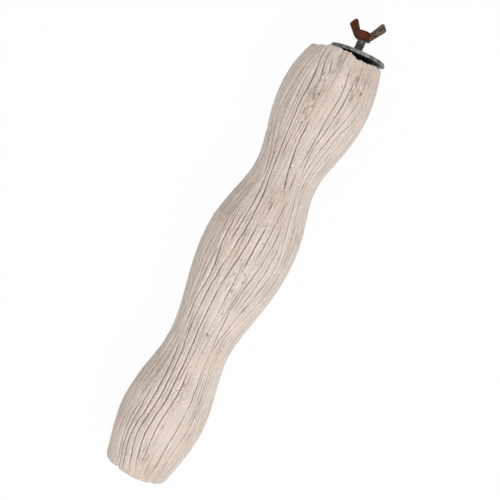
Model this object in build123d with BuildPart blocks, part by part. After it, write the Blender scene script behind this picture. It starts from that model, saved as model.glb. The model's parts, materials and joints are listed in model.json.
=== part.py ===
"""Cast mineral perch for cage birds, held by a stud, two wide washers and a wing nut.

The stud lies along X and points away from the perch. The origin is the middle of the clamping face, where
the two washers meet. Z is up, and lengths are in millimetres.
"""

import os
from math import cos, degrees, radians, sin, tan

from build123d import *

# Cast body: lengths run along its own axis, from the mount end to the far end
mount_end_radius = 23.7
mount_end_to_first_bulge = 31.0
first_bulge_radius = 29.9
first_bulge_to_first_neck = 53.5
first_neck_radius = 21.6
first_neck_to_middle_bulge = 52.5
middle_bulge_radius = 30.7
middle_bulge_to_second_neck = 73.0
second_neck_radius = 21.0
second_neck_to_last_bulge = 53.0
last_bulge_radius = 28.2
last_bulge_to_far_end = 40.5
far_end_radius = 21.0
mount_rim_round = 2.5
far_rim_round = 3.0

# How far each curve runs level with the axis, as a share of its stretch
bulge_level_share = 0.44
neck_level_share = 0.34
far_level_share = 0.35

# Main grooves of the bark, which run along the body and fade out in its rounded rims
groove_depth = 0.8
groove_width = 2.6
groove_rim_shares = (0.15, 0.4, 0.75)

# Places along the body's axis, and the angle of each groove at them, in degrees round from the top
groove_stations = (0, 20, 50, 85, 105, 125, 150, 175, 200, 225, 250, 280, 303.5)
groove_angles = (
    (-58, -50, -54, -44, -46, -48, -51, -54, -56, -49, -47, -52, -51),
    (-47, -41, -42, -35, -35, -36, -32, -34, -42, -32, -25, -29, -22),
    (-34, -28, -27, -24, -17, -14, -17, -24, -28, -20, -15, -19, -9),
    (-14, -10, -5, 0, 0, -3, -6, -11, -12, -8, -5, -9, 1),
    (11, 15, 13, 15, 14, 9, 6, 8, 6, 4, 6, 3, 12),
    (50, 42, 32, 29, 35, 38, 42, 36, 30, 27, 29, 26, 31),
    (68, 61, 51, 43, 47, 51, 57, 49, 41, 40, 43, 41, 47),
    (88, 82, 76, 66, 70, 74, 78, 72, 64, 66, 66, 66, 70),
    (110, 106, 98, 90, 94, 98, 101, 96, 90, 92, 90, 92, 94),
    (132, 128, 122, 114, 118, 124, 122, 120, 116, 118, 116, 118, 118),
    (154, 150, 146, 140, 144, 150, 146, 144, 142, 144, 140, 142, 144),
    (178, 176, 172, 166, 170, 174, 172, 170, 168, 172, 166, 168, 170),
    (202, 200, 196, 194, 198, 200, 196, 196, 194, 198, 192, 196, 196),
    (228, 224, 222, 220, 224, 226, 220, 222, 220, 222, 218, 222, 222),
    (254, 250, 248, 246, 250, 252, 246, 248, 246, 248, 244, 248, 248),
    (280, 278, 276, 274, 276, 278, 272, 274, 272, 276, 272, 276, 274),
)

# Distance between the sections through which the cast body is drawn
section_step = 7.0

# The stud leans in the cast body by an angle in degrees, and leaves it beside the body's axis
stud_lean_angle = 4.0
body_axis_shift = 4.8

# Low boss round the stud on the cast end, which holds the washers clear of the rim; the angle is in degrees
boss_radius = 12.0
boss_height = 3.4
boss_side_angle = 25.0

# Stud: 1/4 in, 20 threads to the inch, drawn as a plain rod of the crest diameter
stud_diameter = 6.35
stud_embedment = 50.0
stud_end_chamfer = 0.8
stud_tip_recess = 0.4

# Anchor cast into the first bulge: a plate washer locked on the stud between two hexagon nuts
anchor_tail = 3.0
anchor_nut_width = 11.1
anchor_nut_height = 5.6
anchor_nut_turn = 15.0
anchor_washer_diameter = 25.4
anchor_washer_thickness = 1.6
anchor_washer_clearance = 0.4

# Clamping washers: two equal wide washers, which hang loose on the stud, each to one side
washer_diameter = 37.0
washer_hole_diameter = 10.4
washer_thickness = 1.2
washer_edge_round = 0.3
inner_washer_shift = 1.7
outer_washer_shift = 1.0

# Wing nut, with a stretch of bare stud between it and the washers; angles are in degrees
bare_stretch = 8.9
hub_base_radius = 5.4
hub_top_radius = 4.6
hub_height = 6.0
hub_base_chamfer = 0.5
hub_top_round = 1.0
thread_clearance = 0.08
wing_foot_height = 0.7
wing_foot_radius = 3.9
wing_length = 14.8
wing_foot_width = 4.1
wing_tip_width = 6.7
wing_thickness = 3.4
wing_corner_round = 1.6
wing_edge_round = 0.8
wing_angle = 46.5
wing_nut_turn = -49.0

# Every cut runs this far past the face it opens
cut_overrun = 1.0

# Places along the body's axis
first_bulge_station = mount_end_to_first_bulge
first_neck_station = first_bulge_station + first_bulge_to_first_neck
middle_bulge_station = first_neck_station + first_neck_to_middle_bulge
second_neck_station = middle_bulge_station + middle_bulge_to_second_neck
last_bulge_station = second_neck_station + second_neck_to_last_bulge
far_end_station = last_bulge_station + last_bulge_to_far_end

# Places along the stud
boss_face_x = -washer_thickness
end_face_x = boss_face_x - boss_height
stud_inner_x = end_face_x - stud_embedment
inner_nut_x = stud_inner_x + anchor_tail
anchor_washer_x = inner_nut_x + anchor_nut_height
outer_nut_x = anchor_washer_x + anchor_washer_thickness
nut_base_x = washer_thickness + bare_stretch
stud_tip_x = nut_base_x + hub_height - stud_tip_recess

stud_radius = stud_diameter / 2
anchor_hole_radius = stud_radius + anchor_washer_clearance
nut_bore_radius = stud_radius + thread_clearance

lean = radians(stud_lean_angle)
body_plane = Plane(
    origin=(end_face_x, body_axis_shift, 0),
    x_dir=(-cos(lean), sin(lean), 0),
    z_dir=(0, 0, 1),
)
body_axis = Axis(body_plane.origin, body_plane.x_dir)


def across_stud(x):
    """Return the plane square to the stud at this place along it."""
    return Plane.YZ.offset(x)


def bulge_to_neck(bulge, neck):
    """Draw the outline from a bulge to the neck after it, level at both."""
    stretch = neck[0] - bulge[0]
    leave = (bulge[0] + bulge_level_share * stretch, bulge[1])
    arrive = (neck[0] - neck_level_share * stretch, neck[1])
    return Bezier(bulge, leave, arrive, neck)


def neck_to_bulge(neck, bulge):
    """Draw the outline from a neck to the bulge after it, level at both."""
    stretch = bulge[0] - neck[0]
    leave = (neck[0] + neck_level_share * stretch, neck[1])
    arrive = (bulge[0] - bulge_level_share * stretch, bulge[1])
    return Bezier(neck, leave, arrive, bulge)


# Outline of the cast body along its axis, from a little before the mount end
trim_length = mount_end_radius * tan(lean) + cut_overrun
trim_growth = (first_bulge_station + trim_length) / first_bulge_station
trim_radius = first_bulge_radius - (first_bulge_radius - mount_end_radius) * trim_growth**2

mount_trim = (-trim_length, trim_radius)
first_bulge = (first_bulge_station, first_bulge_radius)
first_neck = (first_neck_station, first_neck_radius)
middle_bulge = (middle_bulge_station, middle_bulge_radius)
second_neck = (second_neck_station, second_neck_radius)
last_bulge = (last_bulge_station, last_bulge_radius)
far_leave = (last_bulge_station + far_level_share * last_bulge_to_far_end, last_bulge_radius)
far_end = (far_end_station, far_end_radius)

outline = (
    Bezier(mount_trim, ((mount_trim[0] + first_bulge[0]) / 2, first_bulge_radius), first_bulge),
    bulge_to_neck(first_bulge, first_neck),
    neck_to_bulge(first_neck, middle_bulge),
    bulge_to_neck(middle_bulge, second_neck),
    neck_to_bulge(second_neck, last_bulge),
    Bezier(last_bulge, far_leave, far_end),
)


def outline_radius(station):
    """Return the radius of the cast body at this place along its axis."""
    curve = next((curve for curve in outline if station < (curve @ 1).X), outline[-1])
    low, high = 0.0, 1.0
    for _ in range(24):
        middle = (low + high) / 2
        if (curve @ middle).X < station:
            low = middle
        else:
            high = middle
    return (curve @ low).Y


def groove_angle(angles, station):
    """Return the angle of one groove at this place along the body's axis."""
    index = next((i for i in range(1, len(angles) - 1) if station < groove_stations[i]), len(angles) - 1)
    start, end = groove_stations[index - 1], groove_stations[index]
    share = (station - start) / (end - start)
    return angles[index - 1] + share * (angles[index] - angles[index - 1])


def body_section(station, inset, depth_share):
    """Draw the grooved section of the cast body, which is square to the stud at the mount end only."""
    turn = tan(lean) * max(0, 1 - station / first_bulge_station)
    radius = outline_radius(station)
    half_width = degrees(groove_width / 2 / radius)
    middles = [groove_angle(angles, station) for angles in groove_angles]
    points = []
    for middle, after in zip(middles, middles[1:] + [middles[0] + 360]):
        places = (
            (middle - half_width, 0),
            (middle, groove_depth * depth_share),
            (middle + half_width, 0),
            ((middle + after) / 2, 0),
        )
        for angle, depth in places:
            aside = sin(radians(angle))
            reach = outline_radius(station - radius * aside * turn) - inset - depth
            along = station - reach * aside * turn
            points.append(body_plane.from_local_coords((along, reach * aside, reach * cos(radians(angle)))))
    return Wire(Spline(*points, periodic=True))


# Sections of the cast body as station, inset from the outline and share of the groove depth
rim_share = 1 - cos(radians(45))
rim_places = ((0, 1), (rim_share, rim_share), (1, 0))
sections = [
    body_section(mount_rim_round * along, mount_rim_round * inset, share)
    for (along, inset), share in zip(rim_places, groove_rim_shares)
]
inner_stretch = far_end_station - far_rim_round - mount_rim_round
section_count = round(inner_stretch / section_step)
for number in range(1, section_count):
    sections.append(body_section(mount_rim_round + inner_stretch * number / section_count, 0, 1))
sections += [
    body_section(far_end_station - far_rim_round * along, far_rim_round * inset, share)
    for (along, inset), share in zip(reversed(rim_places), reversed(groove_rim_shares))
]

# Perch body, drawn through its sections and hollowed for what is cast into it
with BuildPart() as perch_body:
    add(Solid.make_loft(sections))
    with BuildSketch(across_stud(end_face_x)):
        Circle(boss_radius)
    extrude(amount=boss_height, taper=boss_side_angle)
    with BuildSketch(across_stud(stud_inner_x)):
        Circle(stud_radius)
    extrude(amount=stud_embedment + boss_height + cut_overrun, mode=Mode.SUBTRACT)
    for nut_x in (inner_nut_x, outer_nut_x):
        with BuildSketch(across_stud(nut_x)):
            RegularPolygon(anchor_nut_width / 2, 6, major_radius=False, rotation=anchor_nut_turn)
        extrude(amount=anchor_nut_height, mode=Mode.SUBTRACT)
    with BuildSketch(across_stud(anchor_washer_x)):
        Circle(anchor_washer_diameter / 2)
    extrude(amount=anchor_washer_thickness, mode=Mode.SUBTRACT)

# Stud, from its end inside the cast body to its tip inside the wing nut
with BuildPart() as stud:
    with BuildSketch(across_stud(stud_inner_x)):
        Circle(stud_radius)
    extrude(amount=stud_tip_x - stud_inner_x)
    chamfer(stud.faces().sort_by(Axis.X)[-1].edges(), stud_end_chamfer)

# Anchor nuts, one on each side of the plate washer
with BuildPart() as anchor_nuts:
    for nut_x in (inner_nut_x, outer_nut_x):
        with BuildSketch(across_stud(nut_x)):
            RegularPolygon(anchor_nut_width / 2, 6, major_radius=False, rotation=anchor_nut_turn)
            Circle(stud_radius, mode=Mode.SUBTRACT)
        extrude(amount=anchor_nut_height)

# Anchor washer, locked between the anchor nuts
with BuildPart() as anchor_washer:
    with BuildSketch(across_stud(anchor_washer_x)):
        Circle(anchor_washer_diameter / 2)
        Circle(anchor_hole_radius, mode=Mode.SUBTRACT)
    extrude(amount=anchor_washer_thickness)

# Inner washer, flat on the boss of the cast end
with BuildPart() as inner_washer:
    with BuildSketch(across_stud(boss_face_x)):
        with Locations((-inner_washer_shift, 0)):
            Circle(washer_diameter / 2)
            Circle(washer_hole_diameter / 2, mode=Mode.SUBTRACT)
    extrude(amount=washer_thickness)
    fillet(inner_washer.edges().filter_by(GeomType.CIRCLE).sort_by(SortBy.RADIUS)[-2:], washer_edge_round)

# Outer washer, flat on the inner one until a cage bar goes between them
with BuildPart() as outer_washer:
    with BuildSketch(across_stud(0)):
        with Locations((-outer_washer_shift, 0)):
            Circle(washer_diameter / 2)
            Circle(washer_hole_diameter / 2, mode=Mode.SUBTRACT)
    extrude(amount=washer_thickness)
    fillet(outer_washer.edges().filter_by(GeomType.CIRCLE).sort_by(SortBy.RADIUS)[-2:], washer_edge_round)

# Wing nut: two paddles in a V, level with the base of a tapered hub between them, and a bore through the hub
nut_turn = radians(wing_nut_turn)
wing_plane = Plane(
    origin=(nut_base_x, 0, 0),
    x_dir=(1, 0, 0),
    z_dir=(0, -sin(nut_turn), cos(nut_turn)),
)

with BuildPart() as wing_nut:
    with BuildSketch(wing_plane) as wing:
        with Locations((wing_foot_height, wing_foot_radius)):
            Polygon(
                (0, -wing_foot_width / 2),
                (wing_length, -wing_tip_width / 2),
                (wing_length, wing_tip_width / 2),
                (0, wing_foot_width / 2),
                rotation=wing_angle,
                align=None,
            )
        fillet(wing.vertices(), wing_corner_round)
        mirror(about=Plane.XZ)
    extrude(amount=wing_thickness / 2, both=True)
    fillet(wing_nut.faces().filter_by(Axis(wing_plane.origin, wing_plane.z_dir)).edges(), wing_edge_round)
    split(bisect_by=across_stud(nut_base_x), keep=Keep.TOP)
    with BuildSketch(wing_plane):
        with BuildLine():
            Polyline(
                (0, 0),
                (0, hub_base_radius - hub_base_chamfer),
                (hub_base_chamfer, hub_base_radius),
                (hub_height - hub_top_round, hub_top_radius),
            )
            RadiusArc(
                (hub_height - hub_top_round, hub_top_radius),
                (hub_height, hub_top_radius - hub_top_round),
                -hub_top_round,
            )
            Polyline((hub_height, hub_top_radius - hub_top_round), (hub_height, 0), (0, 0))
        make_face()
    revolve(axis=Axis(wing_plane.origin, wing_plane.x_dir))
    with BuildSketch(across_stud(nut_base_x - cut_overrun)):
        Circle(nut_bore_radius)
    extrude(amount=hub_height + 2 * cut_overrun, mode=Mode.SUBTRACT)

# Write each piece to its own file
pieces = {
    "perch_body": perch_body,
    "stud": stud,
    "anchor_nuts": anchor_nuts,
    "anchor_washer": anchor_washer,
    "inner_washer": inner_washer,
    "outer_washer": outer_washer,
    "wing_nut": wing_nut,
}
os.makedirs("parts", exist_ok=True)
for name, piece in pieces.items():
    piece.part.label = name
    export_step(piece.part, f"parts/{name}.step")
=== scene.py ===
"""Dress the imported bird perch: its cast mineral body, threaded stud, clamping washers and wing nut.

Sizes in the classes are in millimetres, angles in degrees, and scales of textures in cells a metre.
Meshes are in metres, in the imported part's frame: the stud lies along X, the washers meet at the origin, and
Z points up from the floor.
"""

import json
import logging
import math
import random
from dataclasses import dataclass
from enum import Enum
from functools import partial, reduce
from typing import Optional, Union

import bpy
import numpy as np
from mathutils import Matrix, Vector, noise

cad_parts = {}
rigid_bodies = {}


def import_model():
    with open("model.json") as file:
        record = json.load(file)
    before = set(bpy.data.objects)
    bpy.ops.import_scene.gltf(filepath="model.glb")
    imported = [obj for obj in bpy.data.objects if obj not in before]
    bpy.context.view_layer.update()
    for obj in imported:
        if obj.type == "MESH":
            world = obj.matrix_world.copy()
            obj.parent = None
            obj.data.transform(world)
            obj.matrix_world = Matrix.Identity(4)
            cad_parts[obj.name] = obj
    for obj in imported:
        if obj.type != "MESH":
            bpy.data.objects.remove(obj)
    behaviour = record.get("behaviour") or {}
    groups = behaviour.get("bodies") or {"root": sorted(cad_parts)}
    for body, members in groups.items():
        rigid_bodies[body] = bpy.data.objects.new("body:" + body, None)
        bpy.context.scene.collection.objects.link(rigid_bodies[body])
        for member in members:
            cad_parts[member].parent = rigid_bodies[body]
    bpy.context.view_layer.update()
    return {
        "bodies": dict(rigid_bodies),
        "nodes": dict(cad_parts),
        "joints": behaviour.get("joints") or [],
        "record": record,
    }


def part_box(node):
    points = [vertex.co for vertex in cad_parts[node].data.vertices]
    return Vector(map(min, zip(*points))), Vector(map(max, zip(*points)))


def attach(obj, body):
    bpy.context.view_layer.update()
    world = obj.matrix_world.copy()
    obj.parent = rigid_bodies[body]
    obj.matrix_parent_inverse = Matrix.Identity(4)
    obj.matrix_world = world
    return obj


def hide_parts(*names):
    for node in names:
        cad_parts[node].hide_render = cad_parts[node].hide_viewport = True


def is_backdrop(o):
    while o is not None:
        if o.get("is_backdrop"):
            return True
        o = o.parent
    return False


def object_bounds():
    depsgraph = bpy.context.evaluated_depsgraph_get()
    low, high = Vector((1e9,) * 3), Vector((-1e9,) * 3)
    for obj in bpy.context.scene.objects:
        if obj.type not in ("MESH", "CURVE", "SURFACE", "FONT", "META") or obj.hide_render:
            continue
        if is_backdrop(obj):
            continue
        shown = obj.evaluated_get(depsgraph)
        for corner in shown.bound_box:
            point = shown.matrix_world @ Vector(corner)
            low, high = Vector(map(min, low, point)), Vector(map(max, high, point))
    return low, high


Socket = bpy.types.NodeSocket
Feed = Union[Socket, bpy.types.ID, float, int, str, tuple]
Color = tuple[float, float, float, float]
Place = tuple[float, float]
Places = tuple[Place, ...]
Span = tuple[float, float]
Faces = list[tuple[int, ...]]

MM = 0.001
SEED = 11
WHITE = (1.0, 1.0, 1.0, 1.0)

# Radius at which the body's side is rolled out flat for its grooves
FLAT_RADIUS = 26.0

log = logging.getLogger("bird_perch")


def srgb(red: int, green: int, blue: int) -> Color:
    """Turn a colour of 0 to 255 levels, as a screen shows it, into the linear colour that shaders take.

    Args:
        red: level of red.
        green: level of green.
        blue: level of blue.

    Returns:
        The linear colour, opaque.
    """
    shares = [level / 255 for level in (red, green, blue)]
    linear = [s / 12.92 if s <= 0.04045 else ((s + 0.055) / 1.055) ** 2.4 for s in shares]
    return (linear[0], linear[1], linear[2], 1.0)


def smooth_step(values: np.ndarray, low: float, high: float) -> np.ndarray:
    """Rise smoothly from 0 at low to 1 at high.

    Args:
        values: where to read the curve.
        low: value at which it leaves 0.
        high: value at which it reaches 1. It may be below low, for a fall.

    Returns:
        The curve at those values.
    """
    share = np.clip((values - low) / (high - low), 0.0, 1.0)
    return share * share * (3 - 2 * share)


class CellDistance(Enum):
    """What a texture of cells measures: how far a cell's middle is, or its edge."""

    MIDDLE = "F1"
    EDGE = "DISTANCE_TO_EDGE"


class NodePlan:
    """Lays out the nodes of one tree, with a short call for each kind that is used often."""

    def __init__(self, tree: bpy.types.NodeTree) -> None:
        """Start on an empty tree."""
        self.tree = tree
        tree.nodes.clear()

    def add(self, kind: str, feeds: Optional[dict[str, Feed]] = None, **settings: object) -> bpy.types.Node:
        """Add a node.

        Args:
            kind: the node's type.
            feeds: what goes into its inputs, by socket identifier.
            settings: the node's own properties.

        Returns:
            The new node.
        """
        node = self.tree.nodes.new(kind)
        for name, value in settings.items():
            setattr(node, name, value)
        for identifier, feed in (feeds or {}).items():
            self.feed(next(s for s in node.inputs if s.identifier == identifier), feed)
        return node

    def feed(self, socket: Socket, feed: Feed) -> None:
        """Fill an input.

        Args:
            socket: the input.
            feed: an output to link to it, or a value of its own.
        """
        if isinstance(feed, Socket):
            self.tree.links.new(feed, socket)
        else:
            socket.default_value = feed

    def math(self, operation: str, first: Feed, second: Feed = 0.0, third: Feed = 0.0) -> Socket:
        """Work out one number from up to three."""
        feeds = {"Value": first, "Value_001": second, "Value_002": third}
        return self.add("ShaderNodeMath", feeds, operation=operation).outputs["Value"]

    def total(self, *terms: Feed) -> Socket:
        """Add numbers up."""
        return reduce(partial(self.math, "ADD"), terms)

    def product(self, *factors: Feed) -> Socket:
        """Multiply numbers."""
        return reduce(partial(self.math, "MULTIPLY"), factors)

    def weighed(self, *terms: tuple[Feed, Feed]) -> Socket:
        """Add numbers up, each times its weight."""
        return self.total(*(self.product(value, weight) for value, weight in terms))

    def vector(self, operation: str, first: Feed, second: Feed) -> Socket:
        """Work out one vector from two."""
        feeds = {"Vector": first, "Vector_001": second}
        return self.add("ShaderNodeVectorMath", feeds, operation=operation).outputs["Vector"]

    def scaled(self, vector: Feed, factor: Feed) -> Socket:
        """Multiply a vector by a number."""
        feeds = {"Vector": vector, "Scale": factor}
        return self.add("ShaderNodeVectorMath", feeds, operation="SCALE").outputs["Vector"]

    def stretched(self, vector: Feed, share: Feed) -> Socket:
        """Keep only a share of a vector's X, which stretches a texture along X."""
        squeeze = self.add("ShaderNodeCombineXYZ", {"X": share, "Y": 1.0, "Z": 1.0}).outputs["Vector"]
        return self.vector("MULTIPLY", vector, squeeze)

    def ramp(self, value: Feed, low: Feed, high: Feed, start: Feed = 0.0, end: Feed = 1.0) -> Socket:
        """Go smoothly from start to end while a value goes from low to high."""
        feeds = {"Value": value, "From Min": low, "From Max": high, "To Min": start, "To Max": end}
        return self.add("ShaderNodeMapRange", feeds, interpolation_type="SMOOTHSTEP").outputs["Result"]

    def clouds(self, where: Feed, scale: Feed, detail: Feed, seed: Feed) -> Socket:
        """Read soft noise from 0 to 1."""
        feeds = {"Vector": where, "W": seed, "Scale": scale, "Detail": detail}
        return self.add("ShaderNodeTexNoise", feeds, noise_dimensions="4D").outputs["Fac"]

    def waves(self, where: Feed, scale: Feed, detail: Feed, seed: Feed) -> Socket:
        """Read soft noise from -0.5 to 0.5."""
        return self.math("SUBTRACT", self.clouds(where, scale, detail, seed), 0.5)

    def cells(self, where: Feed, scale: Feed, seed: Feed, distance: CellDistance) -> Socket:
        """Read a distance in a texture of cells.

        Args:
            where: coordinates to read it at.
            scale: cells a metre.
            seed: number that picks one texture.
            distance: what the distance is measured to.

        Returns:
            The distance.
        """
        feeds = {"Vector": where, "W": seed, "Scale": scale}
        settings = {"voronoi_dimensions": "4D", "feature": distance.value}
        return self.add("ShaderNodeTexVoronoi", feeds, **settings).outputs["Distance"]

    def mixed(self, share: Feed, first: Feed, second: Feed) -> Socket:
        """Mix two colours.

        Args:
            share: share of the second colour.
            first: the first colour.
            second: the second colour.

        Returns:
            The mixed colour.
        """
        feeds = {"Factor_Float": share, "A_Color": first, "B_Color": second}
        node = self.add("ShaderNodeMix", feeds, data_type="RGBA")
        return next(s for s in node.outputs if s.identifier == "Result_Color")


class TreeKind(Enum):
    """What a node group is for."""

    GEOMETRY = "GeometryNodeTree"
    SHADER = "ShaderNodeTree"


class SocketKind(Enum):
    """Kinds of socket that the trees take in and put out."""

    GEOMETRY = "NodeSocketGeometry"
    OBJECT = "NodeSocketObject"
    MATERIAL = "NodeSocketMaterial"
    NUMBER = "NodeSocketFloat"
    COUNT = "NodeSocketInt"
    VECTOR = "NodeSocketVector"
    COLOR = "NodeSocketColor"


SocketNames = dict[SocketKind, tuple[str, ...]]


class NodeGroup(NodePlan):
    """A node group with named inputs and outputs, for geometry or for shading."""

    def __init__(self, name: str, kind: TreeKind, inputs: SocketNames, outputs: SocketNames) -> None:
        """Make the group and its two end nodes.

        Args:
            name: the group's name.
            kind: what the group is for.
            inputs: names of its inputs, by their kind.
            outputs: names of its outputs, by their kind.
        """
        super().__init__(bpy.data.node_groups.new(name, kind.value))
        for in_out, sockets in (("INPUT", inputs), ("OUTPUT", outputs)):
            for socket_kind, labels in sockets.items():
                for label in labels:
                    self.tree.interface.new_socket(name=label, in_out=in_out, socket_type=socket_kind.value)
        self.given = self.add("NodeGroupInput").outputs
        self.result = self.add("NodeGroupOutput").inputs

    def put_out(self, **sockets: Socket) -> None:
        """Link sockets to the outputs of those names."""
        for label, socket in sockets.items():
            self.tree.links.new(socket, self.result[label])

    def attribute(self, label: str, kind: str = "FLOAT") -> Socket:
        """Read a named attribute of the geometry."""
        named = self.add("GeometryNodeInputNamedAttribute", {"Name": label}, data_type=kind)
        return named.outputs["Attribute"]

    def dressed(self, geometry: Socket) -> Socket:
        """Make the instances in a geometry real, and give it the material of the input Finish.

        Args:
            geometry: the geometry.

        Returns:
            The geometry with its material.
        """
        solid = self.add("GeometryNodeRealizeInstances", {"Geometry": geometry}).outputs["Geometry"]
        feeds = {"Geometry": solid, "Material": self.given["Finish"]}
        return self.add("GeometryNodeSetMaterial", feeds).outputs["Geometry"]


class GrainGroup(NodeGroup):
    """Fine grain, stretched along X by a share, for bump and for small changes of tone."""

    FINENESS = 3.7
    COARSE_SHARE = 0.65
    FINE_SHARE = 0.35
    CONTRAST = (0.32, 0.68)

    def __init__(self) -> None:
        """Build the group."""
        inputs = {SocketKind.VECTOR: ("Vector",), SocketKind.NUMBER: ("Scale", "Stretch")}
        outputs = {SocketKind.NUMBER: ("Value", "Height")}
        super().__init__("surface_grain", TreeKind.SHADER, inputs, outputs)
        where = self.stretched(self.given["Vector"], self.given["Stretch"])
        coarse = self.clouds(where, self.given["Scale"], detail=4.0, seed=1.0)
        fine = self.clouds(where, self.product(self.given["Scale"], self.FINENESS), detail=3.0, seed=2.0)
        height = self.weighed((coarse, self.COARSE_SHARE), (fine, self.FINE_SHARE))
        self.put_out(Value=self.ramp(height, *self.CONTRAST), Height=height)


class MottleGroup(NodeGroup):
    """A slow drift between two colours, in clouds of one scale."""

    CONTRAST = (0.36, 0.64)

    def __init__(self) -> None:
        """Build the group."""
        inputs = {
            SocketKind.VECTOR: ("Vector",),
            SocketKind.NUMBER: ("Scale", "Seed"),
            SocketKind.COLOR: ("First", "Second"),
        }
        outputs = {SocketKind.COLOR: ("Color",), SocketKind.NUMBER: ("Mask",)}
        super().__init__("tone_mottle", TreeKind.SHADER, inputs, outputs)
        given = self.given
        clouds = self.clouds(given["Vector"], given["Scale"], detail=5.0, seed=given["Seed"])
        mask = self.ramp(clouds, *self.CONTRAST)
        self.put_out(Color=self.mixed(mask, given["First"], given["Second"]), Mask=mask)


class RustGroup(NodeGroup):
    """Blooms of rust that cover a share of the surface, darker and redder in their middles."""

    SPECK_FINENESS = 4.3
    BLOOM_SHARE = 0.75
    SPECK_SHARE = 0.25
    BARE_EDGE = 0.74
    EDGE_FALL = 0.48
    EDGE_WIDTH = 0.15
    CONTRAST = (0.35, 0.65)

    def __init__(self) -> None:
        """Build the group."""
        inputs = {
            SocketKind.VECTOR: ("Vector",),
            SocketKind.NUMBER: ("Scale", "Coverage"),
            SocketKind.COLOR: ("Light", "Dark"),
        }
        outputs = {SocketKind.COLOR: ("Color",), SocketKind.NUMBER: ("Mask", "Height")}
        super().__init__("rust_bloom", TreeKind.SHADER, inputs, outputs)
        given = self.given
        blooms = self.clouds(given["Vector"], given["Scale"], detail=6.0, seed=3.0)
        fineness = self.product(given["Scale"], self.SPECK_FINENESS)
        specks = self.clouds(given["Vector"], fineness, detail=3.0, seed=4.0)
        spread = self.weighed((blooms, self.BLOOM_SHARE), (specks, self.SPECK_SHARE))
        edge = self.math("SUBTRACT", self.BARE_EDGE, self.product(given["Coverage"], self.EDGE_FALL))
        mask = self.ramp(spread, edge, self.math("ADD", edge, self.EDGE_WIDTH))
        color = self.mixed(self.ramp(specks, *self.CONTRAST), given["Light"], given["Dark"])
        self.put_out(Color=color, Mask=mask, Height=self.product(mask, specks))


class SharedEffects:
    """Shader node groups that more than one finish uses, each built once."""

    def __init__(self) -> None:
        """Build the groups."""
        self.grain = GrainGroup().tree
        self.mottle = MottleGroup().tree
        self.rust = RustGroup().tree


class MaterialPlan(NodePlan):
    """Lays out one material around its Principled shader, on Object coordinates."""

    def __init__(self, name: str) -> None:
        """Make the material, its shader and its coordinates.

        Args:
            name: the material's name.
        """
        self.material = bpy.data.materials.new(name)
        self.material.use_nodes = True
        super().__init__(self.material.node_tree)
        self.shader = self.add("ShaderNodeBsdfPrincipled")
        self.add("ShaderNodeOutputMaterial", {"Surface": self.shader.outputs["BSDF"]})
        self.where = self.add("ShaderNodeTexCoord").outputs["Object"]

    def attribute(self, label: str, output: str = "Fac") -> Socket:
        """Read a named attribute of the mesh."""
        return self.add("ShaderNodeAttribute", attribute_name=label).outputs[output]

    def effect(self, tree: bpy.types.NodeTree, **feeds: Feed) -> bpy.types.bpy_prop_collection:
        """Place a shared group, fed by input names.

        Args:
            tree: the group.
            feeds: what goes into its named inputs.

        Returns:
            The group's outputs.
        """
        node = self.add("ShaderNodeGroup", node_tree=tree)
        for label, feed in feeds.items():
            self.feed(node.inputs[label], feed)
        return node.outputs

    def shade(self, **feeds: Feed) -> None:
        """Feed the shader's inputs by name, with underscores for spaces."""
        for label, feed in feeds.items():
            self.feed(self.shader.inputs[label.replace("_", " ")], feed)

    def relief(self, height: Socket, strength: float, depth: float) -> Socket:
        """Turn a height from 0 to 1 into a normal, for a depth in millimetres."""
        feeds = {"Height": height, "Strength": strength, "Distance": depth * MM}
        return self.add("ShaderNodeBump", feeds).outputs["Normal"]


@dataclass(frozen=True)
class Specks:
    """Round specks in loose patches: cells for the specks, and clouds that part the patches."""

    scale: float
    stretch: float
    edge: Span
    seed: float
    patch_scale: float
    patch_detail: float
    patch_edge: Span
    patch_seed: float

    def mask(self, plan: NodePlan, where: Socket) -> Socket:
        """Strew the specks over a surface.

        Args:
            plan: the tree that they go into.
            where: coordinates on the surface.

        Returns:
            A number that is 1 in the specks and 0 between them.
        """
        spots = plan.cells(plan.stretched(where, self.stretch), self.scale, self.seed, CellDistance.MIDDLE)
        clouds = plan.clouds(where, self.patch_scale, self.patch_detail, self.patch_seed)
        return plan.product(plan.ramp(spots, *self.edge, 1.0, 0.0), plan.ramp(clouds, *self.patch_edge))


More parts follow.
